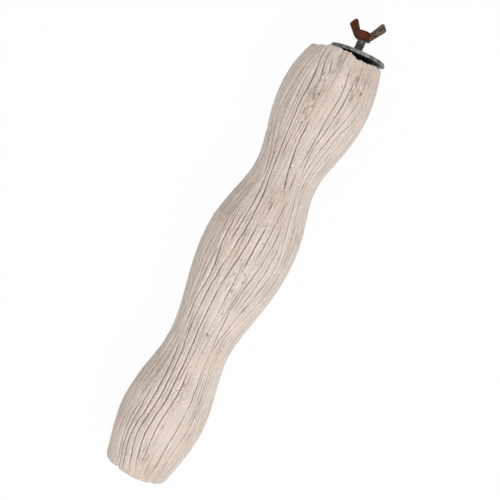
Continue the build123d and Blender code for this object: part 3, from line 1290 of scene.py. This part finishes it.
    def pits(self) -> Socket:
        """Cut pits and crumbs in the rough patches, and a few pits elsewhere.

        Returns:
            The depth of the pits in metres.
        """
        rough = self.attribute("rough")
        along = self.stretched(self.where, self.PIT_STRETCH)
        spots = self.cells(along, self.PIT_SCALE, self.given["Seed"], CellDistance.MIDDLE)
        stray = self.clouds(self.where, self.STRAY_SCALE, detail=2.0, seed=12.0)
        crumbs = self.clouds(along, self.CRUMB_SCALE, detail=3.0, seed=13.0)
        few = self.product(self.ramp(stray, *self.STRAY_EDGE), self.STRAY_SHARE)
        share = self.math("MAXIMUM", rough, few)
        pitted = self.product(self.ramp(spots, *self.PIT_EDGE, 1.0, 0.0), share)
        crumbled = self.product(self.ramp(crumbs, *self.CRUMB_EDGE), rough, self.CRUMB_SHARE)
        return self.product(self.total(pitted, crumbled), self.given["Pit Depth"])

    def swell(self) -> Socket:
        """Swell and sink the cast a little, in broad and in small waves.

        Returns:
            The height of the waves in metres.
        """
        along = self.stretched(self.where, self.SMALL_STRETCH)
        broad = self.waves(self.where, self.BROAD_SCALE, detail=2.0, seed=21.0)
        small = self.waves(along, self.SMALL_SCALE, detail=3.0, seed=22.0)
        waves = self.total(broad, self.product(small, self.SMALL_SHARE))
        return self.product(waves, self.given["Unevenness"])


@dataclass(frozen=True)
class RimChip:
    """A stretch of a rim that stands back, or forward where its depth is below 0."""

    start: float
    end: float
    depth: float
    softness: float = 5.0

    def cut(self, angle: np.ndarray) -> np.ndarray:
        """Read the depth of the chip.

        Args:
            angle: degrees from the top, from -180 to 180.

        Returns:
            The depth at each angle, in millimetres.
        """
        rise = smooth_step(angle, self.start - self.softness, self.start + self.softness)
        fall = smooth_step(angle, self.end + self.softness, self.end - self.softness)
        return self.depth * rise * fall


@dataclass
class CastBody:
    """The cast bar: a blank turned from its outline, chipped at its rims and cut by the bark tree."""

    axis: BodyAxis = BodyAxis()
    outline: BodyOutline = BodyOutline()
    mount_chips: tuple[RimChip, ...] = (
        RimChip(11.0, 36.0, 0.9),
        RimChip(46.0, 78.0, -0.8),
        RimChip(-37.0, 5.0, -1.4, 3.5),
        RimChip(-80.0, -50.0, 0.9),
        RimChip(112.0, 140.0, 1.4),
        RimChip(-150.0, -128.0, 1.0),
    )
    far_chips: tuple[RimChip, ...] = (
        RimChip(-36.0, -29.0, 1.5, 3.0),
        RimChip(34.0, 48.0, 0.7),
        RimChip(96.0, 118.0, 1.1),
        RimChip(-120.0, -104.0, 0.9),
    )
    mount_chip_span: Span = (10.0, 2.0)
    far_chip_span: Span = (297.0, 303.5)
    chip_radii: Span = (13.0, 20.0)
    chip_noise: float = 0.45
    mount_noise: float = 0.45
    far_noise: float = 0.3
    noise_scale: float = 1.7
    noise_round: float = 3.1
    noise_outward: float = 0.3
    noise_along: float = 0.25
    rim_station: float = 1.5
    mount_round: float = 1.3
    square_to: float = 30.0
    face_slack: float = 0.1
    # Radii over which the painted shade on the mount face fades in under the washers
    clamp_shade_radii: Span = (20.0, 17.0)
    boss_height: float = 3.4
    boss_top_radius: float = 10.4
    boss_foot_radius: float = 12.0
    boss_shift: float = 4.8
    boss_blend: Span = (21.0, 12.5)
    far_round: float = 1.4
    pole_radius: float = 0.5
    end_rough: float = 0.45
    end_rough_span: Span = (1.0, 0.8)
    side_span: Span = (0.85, 1.0)
    boss_rows: int = 8
    mount_rows: int = 16
    round_rows: int = 7
    far_rows: int = 20
    row_step: float = 0.8
    columns: int = 860
    triangle_share: float = 0.264

    def meridian(self) -> np.ndarray:
        """Draw the line from the mount face's middle over the side to the far face's middle.

        Returns:
            Station, radius and distance along the surface from the mount rim, one row for each ring.
        """
        rim_end = self.rim_station + self.mount_round
        far_station, far_end_radius = self.outline.far_end
        far_start = far_station - self.far_round
        mount_radius, far_radius = self.outline.radius(np.array([rim_end, far_start]))
        far_face_radius = far_end_radius - self.far_round
        turn = np.linspace(0.0, math.pi / 2, self.round_rows)
        boss = np.linspace(self.pole_radius, self.boss_top_radius, self.boss_rows)
        mount_face = np.linspace(self.boss_foot_radius, mount_radius - self.mount_round, self.mount_rows)
        mount_rim = mount_radius - self.mount_round + self.mount_round * np.sin(turn[1:])
        side = np.arange(rim_end, far_start, self.row_step)[1:]
        far_rim = far_face_radius + (far_radius - far_face_radius) * np.cos(turn)
        far_face = np.linspace(far_face_radius, self.pole_radius, self.far_rows)[1:]
        stations = np.concatenate([
            np.full(len(boss), self.rim_station - self.boss_height),
            np.full(len(mount_face), self.rim_station),
            self.rim_station + self.mount_round * (1 - np.cos(turn[1:])),
            side,
            far_start + self.far_round * np.sin(turn),
            np.full(len(far_face), far_station),
        ])
        radii = np.concatenate([boss, mount_face, mount_rim, self.outline.radius(side), far_rim, far_face])
        travel = np.concatenate([[0.0], np.cumsum(np.hypot(np.diff(stations), np.diff(radii)))])
        first_side = len(boss) + len(mount_face) + len(mount_rim)
        return np.column_stack([stations, radii, travel - travel[first_side] + stations[first_side]])

    def chipping(self, station: np.ndarray, radius: np.ndarray, angle: np.ndarray) -> np.ndarray:
        """Work out how far each point near a rim moves along the body.

        Args:
            station: millimetres along the axis.
            radius: millimetres from the axis.
            angle: degrees from the top.

        Returns:
            The move of each point in millimetres.
        """
        across = self.noise_round * np.cos(np.radians(angle)) + self.noise_outward * radius
        above = self.noise_round * np.sin(np.radians(angle))
        spots = zip(across, above, self.noise_along * station)
        ragged = np.array([noise.noise(Vector(spot) * self.noise_scale) for spot in spots])
        on_rim = smooth_step(radius, *self.chip_radii)
        rims = (
            (self.mount_chips, self.mount_noise, self.mount_chip_span),
            (self.far_chips, self.far_noise, self.far_chip_span),
        )
        at_mount, at_far_end = (
            (sum(chip.cut(angle) for chip in chips) * (1 + self.chip_noise * ragged) + level * ragged)
            * smooth_step(station, *span)
            * on_rim
            for chips, level, span in rims
        )
        return at_mount - at_far_end

    def points(self, station: np.ndarray, radius: np.ndarray, angle: np.ndarray) -> np.ndarray:
        """Place the blank's points, with the boss beside the axis and the mount face square to the stud.

        Args:
            station: millimetres along the axis, ring by ring.
            radius: millimetres from the axis.
            angle: degrees from the top.

        Returns:
            The points in metres, one a row, with the middles of the two ends last.
        """
        on_face = smooth_step(radius, *self.boss_blend) * (station < self.rim_station + self.face_slack)
        across = radius * np.sin(np.radians(angle)) + self.boss_shift * on_face
        square = smooth_step(station, self.square_to, self.rim_station)
        slant = -across * math.tan(math.radians(self.axis.lean)) * square
        moved = station + slant + self.chipping(station, radius, angle)
        shift = np.outer(on_face * self.boss_shift * MM, self.axis.aside)
        poles = self.axis.points(station[[0, -1]], np.zeros(2), np.zeros(2))
        poles[0] += self.boss_shift * MM * self.axis.aside
        return np.vstack([self.axis.points(moved, radius, angle) + shift, poles])

    def faces(self, rows: int) -> Faces:
        """List the faces of the blank: quads between its rings, and a fan at each end.

        Args:
            rows: how many rings it has.

        Returns:
            Point numbers of each face.
        """
        mount_pole, far_pole = rows * self.columns, rows * self.columns + 1
        last = (rows - 1) * self.columns
        steps = [(column, (column + 1) % self.columns) for column in range(self.columns)]
        faces: Faces = []
        for here in range(0, last, self.columns):
            there = here + self.columns
            faces += [(here + i, there + i, there + j, here + j) for i, j in steps]
        for i, j in steps:
            faces += [(mount_pole, i, j), (far_pole, last + j, last + i)]
        return faces

    def blank(self) -> bpy.types.Object:
        """Turn the smooth blank, closed at both ends.

        Returns:
            The blank, with the attributes flat, skin, rough, crumb and side, and the painted shade on the
            mount face under the washers.
        """
        rings = self.meridian()
        station, radius, travel = np.repeat(rings, self.columns, axis=0).T
        angle = np.tile(np.linspace(-180.0, 180.0, self.columns, endpoint=False), len(rings))
        turn = np.radians(angle)
        points = self.points(station, radius, angle)
        start, end, far_radius = travel[0], travel[-1], self.outline.far_end[1]
        near_mount, near_far = start + FLAT_RADIUS, end - far_radius
        side = np.clip(np.minimum((travel - start) / FLAT_RADIUS, (end - travel) / far_radius), 0.0, 1.0)
        around = (side * FLAT_RADIUS)[:, None] * np.column_stack([np.sin(turn), np.cos(turn)])
        flat = np.column_stack([turn * FLAT_RADIUS, travel, np.zeros(len(angle))]) * MM
        skin = np.column_stack([np.clip(travel, near_mount, near_far), around]) * MM
        to_stud = np.hypot(points[:-2, 1], points[:-2, 2]) / MM
        # Painted shade on the mount face, within reach of the washers
        soil = smooth_step(to_stud, *self.clamp_shade_radii) * (station < self.rim_station + self.face_slack)
        at_ends = self.end_rough * smooth_step(side, *self.end_rough_span)
        rough = np.clip(covered(ROUGH_PATCHES, travel, angle) + at_ends, 0.0, 1.0)
        crumbly = np.clip(covered(CRUMBLY_PATCHES, travel, angle), 0.0, 1.0)
        clear_of_grooves = np.array([[0.0, -0.1, 0.0], [0.0, 0.5, 0.0]])
        middles = np.array([[near_mount, 0.0, 0.0], [near_far, 0.0, 0.0]]) * MM
        marks = {
            "flat": np.vstack([flat, clear_of_grooves]),
            "skin": np.vstack([skin, middles]),
            "rough": np.append(rough, [0.0, 0.0]),
            "crumb": np.append(crumbly, [0.0, 0.0]),
            "side": np.append(smooth_step(side, *self.side_span), [0.0, 0.0]),
            "soil": np.append(soil, [1.0, 0.0]),
        }
        made = new_object("perch_cast", points, self.faces(len(rings)))
        for label, values in marks.items():
            store(made, label, values)
        return made

    def build(self, finish: bpy.types.Material) -> bpy.types.Object:
        """Cut the blank into the finished cast and let it stand for the solid.

        Args:
            finish: the cast's material.

        Returns:
            The cast.
        """
        cast = self.blank()
        lines = GrooveField().build()
        sizes = {
            "Groove Lines": lines,
            "Groove Wander": 0.9 * MM,
            "Ridge Width": 1.5 * MM,
            "Ridge Height": 0.4 * MM,
            "Lip Height": 0.14 * MM,
            "Crack Depth": 0.36 * MM,
            "Pit Depth": 0.75 * MM,
            "Unevenness": 1.1 * MM,
            "Seed": float(SEED),
            "Finish": finish,
        }
        add_nodes(cast, BarkTree().tree, sizes)
        thin = cast.modifiers.new("thin", "DECIMATE")
        thin.ratio = self.triangle_share
        settle(cast)
        bpy.data.objects.remove(lines)
        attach(cast, "perch")
        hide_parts("perch_body")
        return cast


class ThreadTree(NodeGroup):
    """Geometry Nodes that turn a rod along X with a screw thread, from its named sizes."""

    SIDES = 48
    CAP_RINGS = 3
    CREST_END = 0.12
    ROOT_START = 0.86

    def __init__(self) -> None:
        """Build the tree."""
        inputs = {
            SocketKind.GEOMETRY: ("Blank",),
            SocketKind.NUMBER: ("Length", "Crest Radius", "Root Radius", "Pitch", "Tip Radius"),
            SocketKind.VECTOR: ("Middle",),
            SocketKind.COUNT: ("Rows",),
            SocketKind.MATERIAL: ("Finish",),
        }
        super().__init__("rod_thread", TreeKind.GEOMETRY, inputs, {SocketKind.GEOMETRY: ("Rod",)})
        given = self.given
        feeds = {
            "Vertices": self.SIDES,
            "Side Segments": given["Rows"],
            "Fill Segments": self.CAP_RINGS,
            "Radius": given["Crest Radius"],
            "Depth": given["Length"],
        }
        rod = self.add("GeometryNodeMeshCylinder", feeds, fill_type="TRIANGLE_FAN").outputs["Mesh"]
        where = self.add("GeometryNodeInputPosition").outputs["Position"]
        share = self.math("DIVIDE", self.radius(where), given["Crest Radius"])
        squeeze = self.add("ShaderNodeCombineXYZ", {"X": share, "Y": share, "Z": 1.0})
        place = self.vector("MULTIPLY", where, squeeze.outputs["Vector"])
        threaded = self.add("GeometryNodeSetPosition", {"Geometry": rod, "Position": place})
        feeds = {
            "Geometry": threaded.outputs["Geometry"],
            "Translation": given["Middle"],
            "Rotation": (0.0, math.pi / 2, 0.0),
        }
        laid = self.add("GeometryNodeTransform", feeds).outputs["Geometry"]
        self.put_out(Rod=self.dressed(laid))

    def radius(self, where: Socket) -> Socket:
        """Work out the rod's radius: the thread's, or less where the tips are bevelled.

        Args:
            where: place of a point, with the rod along Z.

        Returns:
            The radius there.
        """
        given = self.given
        part = self.add("ShaderNodeSeparateXYZ", {"Vector": where}).outputs
        turn = self.math("DIVIDE", self.math("ARCTAN2", part["Y"], part["X"]), math.tau)
        rise = self.math("DIVIDE", part["Z"], given["Pitch"])
        phase = self.math("FRACT", self.math("SUBTRACT", rise, turn))
        away = self.math("ABSOLUTE", self.math("MULTIPLY_ADD", phase, 2.0, -1.0))
        feeds = {"Value": away, "From Min": self.CREST_END, "From Max": self.ROOT_START}
        crest = self.add("ShaderNodeMapRange", {**feeds, "To Min": 1.0, "To Max": 0.0}).outputs["Result"]
        depth = self.math("SUBTRACT", given["Crest Radius"], given["Root Radius"])
        thread = self.math("MULTIPLY_ADD", crest, depth, given["Root Radius"])
        half = self.math("DIVIDE", given["Length"], 2.0)
        to_end = self.math("SUBTRACT", half, self.math("ABSOLUTE", part["Z"]))
        return self.math("MINIMUM", thread, self.math("ADD", to_end, given["Tip Radius"]))


@dataclass
class Stud:
    """The threaded rod, from its end inside the cast to its tip inside the wing nut."""

    pitch: float = 1.27
    thread_depth: float = 0.72
    tip_inset: float = 0.8
    rows_a_turn: int = 8

    def build(self, finish: bpy.types.Material) -> bpy.types.Object:
        """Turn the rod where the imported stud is.

        Args:
            finish: the rod's material.

        Returns:
            The rod.
        """
        low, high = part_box("stud")
        length = high.x - low.x
        rod = new_object("stud_rod", np.zeros((1, 3)), [])
        sizes = {
            "Length": length,
            "Crest Radius": high.z,
            "Root Radius": high.z - self.thread_depth * MM,
            "Pitch": self.pitch * MM,
            "Tip Radius": high.z - self.tip_inset * MM,
            "Middle": ((low.x + high.x) / 2, 0.0, 0.0),
            "Rows": int(self.rows_a_turn * length / (self.pitch * MM)),
            "Finish": finish,
        }
        add_nodes(rod, ThreadTree().tree, sizes)
        settle(rod)
        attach(rod, "perch")
        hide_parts("stud")
        return rod


def lathe(profile: list[Place], segments: int) -> tuple[np.ndarray, Faces]:
    """Turn a closed profile about X.

    Args:
        profile: places along X and away from it, in millimetres, in order round the section.
        segments: steps round the axis.

    Returns:
        The points in metres, and the faces, outwards where the section lies on the profile's right.
    """
    turns = np.linspace(0.0, math.tau, segments, endpoint=False)
    points = np.array([(x, r * math.cos(t), r * math.sin(t)) for t in turns for x, r in profile]) * MM
    count = len(profile)
    faces: Faces = []
    for step in range(segments):
        here, there = step * count, (step + 1) % segments * count
        for i in range(count):
            j = (i + 1) % count
            faces.append((there + i, there + j, here + j, here + i))
    return points, faces


def arc(middle: Place, radius: float, start: float, end: float, steps: int) -> list[Place]:
    """Draw an arc.

    Args:
        middle: its middle.
        radius: its radius.
        start: angle of its start, in degrees.
        end: angle of its end.
        steps: how many places it has.

    Returns:
        Its places.
    """
    turns = [math.radians(angle) for angle in np.linspace(start, end, steps)]
    return [(middle[0] + radius * math.cos(turn), middle[1] + radius * math.sin(turn)) for turn in turns]


@dataclass
class ClampWasher:
    """A wide punched washer, rolled over at the edge where the punch went in and sharp at the other."""

    node: str
    roll_towards_nut: bool
    hole_radius: float = 5.2
    edge_roll: float = 0.45
    edge_burr: float = 0.15
    rim_band: float = 2.0
    hole_band: float = 1.5
    rim_steps: int = 6
    hole_steps: int = 5
    face_steps: int = 6
    segments: int = 192
    wear: float = 0.05
    wear_scale: float = 260.0
    wear_inset: float = 0.6
    worn_band: float = 1.2
    # Painted dark reflection on the face under the nut, and painted shade on the face towards the cast
    nut_side_shade: float = 0.7
    nut_side_span: Span = (-2.0, 13.0)
    nut_side_depth: float = 0.3
    cast_side_radii: Span = (17.3, 15.0)
    cast_side_depths: Span = (0.45, 0.1)

    def profile(self, start: float, end: float, radius: float) -> list[Place]:
        """Draw the washer's section.

        Args:
            start: lowest place along X, in millimetres.
            end: highest place along X.
            radius: outer radius.

        Returns:
            The section's places.
        """
        near, far = self.edge_roll, self.edge_burr
        if self.roll_towards_nut:
            near, far = far, near
        hole = self.hole_radius
        outer, inner = radius - self.rim_band, hole + self.hole_band
        return [
            *arc((start + near, radius - near), near, 180, 90, self.rim_steps),
            *arc((end - far, radius - far), far, 90, 0, self.rim_steps),
            *np.linspace((end, outer), (end, inner), self.face_steps).tolist(),
            *arc((end - far, hole + far), far, 0, -90, self.hole_steps),
            *arc((start + near, hole + near), near, -90, -180, self.hole_steps),
            *np.linspace((start, inner), (start, outer), self.face_steps).tolist(),
        ]

    def grime(self, points: np.ndarray, start: float, end: float) -> np.ndarray:
        """Read how much painted shade points get: painted shade round the stud on the cast's side, or a
        painted dark reflection to one side under the nut.

        Args:
            points: the points in millimetres, one a row.
            start: lowest place along X.
            end: highest place along X.

        Returns:
            A share from 0 to 1 for each point.
        """
        along, across, above = points.T
        if self.roll_towards_nut:
            # Painted dark reflection on the face under the nut, to one side
            on_top = smooth_step(along, end - self.nut_side_depth, end)
            return self.nut_side_shade * smooth_step(across, *self.nut_side_span) * on_top
        # Painted shade on the face towards the cast, round the stud
        clean, shaded = self.cast_side_depths
        underneath = smooth_step(along, start + clean, start + shaded)
        return underneath * smooth_step(np.hypot(across, above), *self.cast_side_radii)

    def build(self, finish: bpy.types.Material, body: str) -> bpy.types.Object:
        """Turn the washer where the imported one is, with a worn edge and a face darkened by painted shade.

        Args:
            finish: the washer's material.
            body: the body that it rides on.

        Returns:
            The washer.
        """
        low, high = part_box(self.node)
        points, faces = lathe(self.profile(low.x / MM, high.x / MM, high.z / MM), self.segments)
        for point in points:
            reach = math.hypot(point[1], point[2])
            worn = noise.noise(Vector(point) * self.wear_scale) - self.wear_inset
            if reach > high.z - self.worn_band * MM:
                point[1:] *= 1.0 + self.wear * MM * worn / reach
        points[:, 1] += (low.y + high.y) / 2
        washer = new_object(self.node + "_plate", points, faces)
        store(washer, "grime", self.grime(points / MM, low.x / MM, high.x / MM))
        washer.data.materials.append(finish)
        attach(washer, body)
        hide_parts(self.node)
        return washer


@dataclass
class WingNut:
    """The wing nut: a tapered hub with two thick paddles, forged in one and rough with rust."""

    turn: float = -49.0
    hub_base_radius: float = 5.4
    hub_top_radius: float = 4.6
    hub_height: float = 6.0
    hub_sides: int = 96
    base_chamfer: float = 0.5
    top_round: float = 1.3
    top_steps: int = 7
    bore_radius: float = 3.25
    wing_foot: Place = (0.7, 3.9)
    wing_length: float = 15.2
    wing_rings: tuple[float, ...] = (0.0, 3.0, 6.0, 9.0)
    wing_sides: int = 40
    wing_foot_width: float = 4.1
    wing_tip_width: float = 6.7
    wing_thickness: float = 3.4
    wing_taper: float = 0.1
    wing_angle: float = 46.5
    corner_round: float = 1.1
    corner_steps: int = 9
    corner_thinning: float = 0.5
    edge_power: float = 3.2
    base_gap: float = 0.1
    voxel: float = 0.2
    softness: float = 0.5
    soft_rounds: int = 5

    def hub(self) -> tuple[np.ndarray, Faces]:
        """Turn the hub with its bore.

        Returns:
            The points in metres and the faces.
        """
        top = (self.hub_height - self.top_round, self.hub_top_radius - self.top_round)
        profile = [
            (0.0, self.bore_radius),
            (0.0, self.hub_base_radius - self.base_chamfer),
            (self.base_chamfer, self.hub_base_radius),
            *arc(top, self.top_round, 90, 0, self.top_steps),
            (self.hub_height, self.bore_radius),
        ]
        return lathe(profile, self.hub_sides)

    def paddle(self, side: int) -> tuple[np.ndarray, Faces]:
        """Sweep one wing from its foot to its tip, with round edges and corners.

        Args:
            side: 1 or -1.

        Returns:
            The points in metres and the faces.
        """
        slope = math.radians(self.wing_angle)
        along = np.array([math.cos(slope), side * math.sin(slope), 0.0])
        across = np.array([-math.sin(slope), side * math.cos(slope), 0.0])
        foot = np.array([self.wing_foot[0], side * self.wing_foot[1], 0.0])
        turns = np.linspace(0.0, math.tau, self.wing_sides, endpoint=False)
        lump = 2.0 / self.edge_power
        wide = np.sign(np.cos(turns)) * np.abs(np.cos(turns)) ** lump
        thick = np.sign(np.sin(turns)) * np.abs(np.sin(turns)) ** lump
        corner = np.linspace(0.0, math.pi / 2, self.corner_steps)
        reaches = [*self.wing_rings, *(self.wing_length - self.corner_round * (1 - np.sin(corner)))]
        insets = [*(0.0 for _ in self.wing_rings), *(self.corner_round * (1 - np.cos(corner)))]
        rings = []
        for reach, inset in zip(reaches, insets):
            share = reach / self.wing_length
            growth = (self.wing_tip_width - self.wing_foot_width) * reach / self.wing_length
            half_width = (self.wing_foot_width + growth) / 2 - inset
            tapered = self.wing_thickness / 2 * (1.0 - self.wing_taper * share)
            half_thick = tapered - self.corner_thinning * inset
            section = np.outer(half_width * wide, across) + np.outer(half_thick * thick, (0, 0, 1))
            rings.append(foot + reach * along + section)
        points = np.vstack(rings) * MM
        points[:, 0] = np.maximum(points[:, 0], self.base_gap * MM)
        count, last = self.wing_sides, len(points) - self.wing_sides
        faces: Faces = [tuple(range(count))[::side], tuple(range(last, len(points)))[::-side]]
        for here in range(0, last, count):
            there = here + count
            for i in range(count):
                j = (i + 1) % count
                faces.append((here + i, there + i, there + j, here + j)[::side])
        return points, faces

    def build(self, finish: bpy.types.Material) -> bpy.types.Object:
        """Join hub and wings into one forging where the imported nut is.

        Args:
            finish: the nut's material.

        Returns:
            The nut.
        """
        low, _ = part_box("wing_nut")
        points = np.empty((0, 3))
        faces: Faces = []
        for part_points, part_faces in (self.hub(), self.paddle(1), self.paddle(-1)):
            faces += [tuple(i + len(points) for i in face) for face in part_faces]
            points = np.vstack([points, part_points])
        place = Matrix.Translation((low.x, 0.0, 0.0)) @ Matrix.Rotation(math.radians(self.turn), 4, "X")
        nut = new_object("wing_nut_forging", points, faces)
        nut.data.transform(place)
        remesh = nut.modifiers.new("forge", "REMESH")
        remesh.mode = "VOXEL"
        remesh.voxel_size = self.voxel * MM
        soften = nut.modifiers.new("soften", "SMOOTH")
        soften.factor = self.softness
        soften.iterations = self.soft_rounds
        settle(nut)
        nut.data.materials.append(finish)
        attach(nut, "wing_nut")
        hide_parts("wing_nut")
        return nut


@dataclass
class Anchor:
    """Nuts and plate on the stud inside the cast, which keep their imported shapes."""

    nodes: tuple[str, ...] = ("anchor_nuts", "anchor_washer")

    def dress(self, frame: dict, finish: bpy.types.Material) -> list[bpy.types.Object]:
        """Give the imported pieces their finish.

        Args:
            frame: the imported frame.
            finish: their material.

        Returns:
            The pieces.
        """
        pieces = [frame["nodes"][node] for node in self.nodes]
        for piece in pieces:
            piece.data.materials.clear()
            piece.data.materials.append(finish)
        return pieces


@dataclass(frozen=True)
class Lamp:
    """A square lamp: its place from the body's middle, its share of plain daylight and its side, in metres.

    The place is how far it stands to the right, up and back, as the camera sees it.
    """

    name: str
    place: tuple[float, float, float]
    level: float
    size: float


@dataclass
class Studio:
    """Camera at the photograph's angle, a pale floor and soft light from the lower right."""

    axis: BodyAxis = BodyAxis()
    lamps: tuple[Lamp, ...] = (
        Lamp("key_lamp", (0.2, -0.47, 1.0), 0.58, 0.7),
        Lamp("fill_lamp", (-0.5, 0.6, 1.1), 0.05, 0.9),
    )
    aim_station: float = 141.5
    distance: float = 660.0
    tip_towards_mount: float = 0.077
    roll: float = 27.27
    shift_right: float = 1.84
    shift_up: float = 0.46
    lens: float = 72.35
    clip_start: float = 0.01
    floor_half: float = 6.0
    floor_gap: float = 0.3
    floor_color: Color = (0.82, 0.82, 0.82, 1.0)
    floor_glow: float = 0.97
    world_light: float = 0.64

    def camera_axes(self) -> tuple[Vector, Vector, Vector]:
        """Work out which ways are right, up and back for the camera.

        Returns:
            The three directions.
        """
        outward = Vector(-self.axis.along)
        upward = math.sqrt(1 - self.tip_towards_mount**2) * Vector((0, 0, 1))
        back = (upward + self.tip_towards_mount * outward).normalized()
        upright = (outward - outward.dot(back) * back).normalized()
        across = upright.cross(back)
        roll = math.radians(self.roll)
        right = math.sin(roll) * upright + math.cos(roll) * across
        up = math.cos(roll) * upright - math.sin(roll) * across
        return right, up, back

    def add_camera(self) -> None:
        """Set up the camera and make it the scene's."""
        right, up, back = self.camera_axes()
        offset = self.distance * back + self.shift_right * right + self.shift_up * up
        place = self.axis.middle(self.aim_station) + offset * MM
        data = bpy.data.cameras.new("camera")
        data.lens = self.lens
        data.clip_start = self.clip_start
        camera = bpy.data.objects.new("camera", data)
        camera.matrix_world = Matrix.Translation(place) @ Matrix((right, up, back)).transposed().to_4x4()
        bpy.context.scene.collection.objects.link(camera)
        bpy.context.scene.camera = camera

    def add_lamp(self, lamp: Lamp) -> None:
        """Hang a lamp so that it faces the body's middle.

        Args:
            lamp: the lamp.
        """
        right, up, back = self.camera_axes()
        offset = lamp.place[0] * right + lamp.place[1] * up + lamp.place[2] * back
        data = bpy.data.lights.new(lamp.name, "AREA")
        data.size = lamp.size
        data.energy = lamp.level * math.pi**2 * offset.length_squared
        hung = bpy.data.objects.new(lamp.name, data)
        hung.location = self.axis.middle(self.aim_station) + offset
        hung.rotation_euler = offset.to_track_quat("Z", "Y").to_euler()
        bpy.context.scene.collection.objects.link(hung)

    @staticmethod
    def seen_share(plan: NodePlan) -> Socket:
        """Tell rays that see the backdrop, straight, mirrored or through glass, from rays that light.

        Args:
            plan: the tree to read the rays in.

        Returns:
            1 for rays that see it, and 0 for the others.
        """
        path = plan.add("ShaderNodeLightPath").outputs
        seen = plan.math("MAXIMUM", path["Is Camera Ray"], path["Is Glossy Ray"])
        return plan.math("MAXIMUM", seen, path["Is Transmission Ray"])

    def add_floor(self, height: float) -> None:
        """Lay a white floor that keeps a soft shadow.

        Args:
            height: place of the floor along Z, in metres.
        """
        material = bpy.data.materials.new("pale_floor")
        material.use_nodes = True
        plan = NodePlan(material.node_tree)
        matt = plan.add("ShaderNodeBsdfDiffuse", {"Color": self.floor_color}).outputs["BSDF"]
        glow = plan.add("ShaderNodeEmission", {"Color": WHITE, "Strength": 1.0}).outputs["Emission"]
        share = plan.math("MULTIPLY", self.seen_share(plan), self.floor_glow)
        mix = plan.add("ShaderNodeMixShader", {"Fac": share, "Shader": matt, "Shader_001": glow})
        plan.add("ShaderNodeOutputMaterial", {"Surface": mix.outputs["Shader"]})
        half = self.floor_half
        square = ((-half, -half), (half, -half), (half, half), (-half, half))
        floor = new_object("floor", np.array([(*corner, height) for corner in square]), [(0, 1, 2, 3)])
        floor.data.materials.append(material)
        floor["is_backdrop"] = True

    def add_world(self) -> None:
        """Surround the scene with plain white, dimmer for light than for sight."""
        world = bpy.data.worlds.new("studio")
        world.use_nodes = True
        bpy.context.scene.world = world
        plan = NodePlan(world.node_tree)
        strength = plan.ramp(self.seen_share(plan), 0.0, 1.0, self.world_light, 1.0)
        sky = plan.add("ShaderNodeBackground", {"Color": WHITE, "Strength": strength})
        plan.add("ShaderNodeOutputWorld", {"Surface": sky.outputs["Background"]})

    def build(self) -> None:
        """Set up camera, lamps, world and floor."""
        low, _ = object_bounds()
        self.add_camera()
        for lamp in self.lamps:
            self.add_lamp(lamp)
        self.add_world()
        self.add_floor(low.z - self.floor_gap * MM)
        bpy.context.scene.view_settings.view_transform = "Standard"


def main() -> None:
    """Load the frame, build and dress every piece, and light the scene."""
    logging.basicConfig(level=logging.INFO, format="%(message)s")
    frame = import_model()
    effects = SharedEffects()
    mineral = CastMineral().material(effects)
    zinc = ZincSteel().material(effects)
    rusty = RustySteel().material(effects)
    pieces = [
        CastBody().build(mineral),
        Stud().build(zinc),
        ClampWasher("inner_washer", roll_towards_nut=False).build(zinc, "inner_washer"),
        ClampWasher("outer_washer", roll_towards_nut=True).build(zinc, "outer_washer"),
        WingNut().build(rusty),
        *Anchor().dress(frame, zinc),
    ]
    for piece in pieces:
        report(piece)
    Studio().build()
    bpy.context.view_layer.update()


if __name__ == "__main__":
    main()
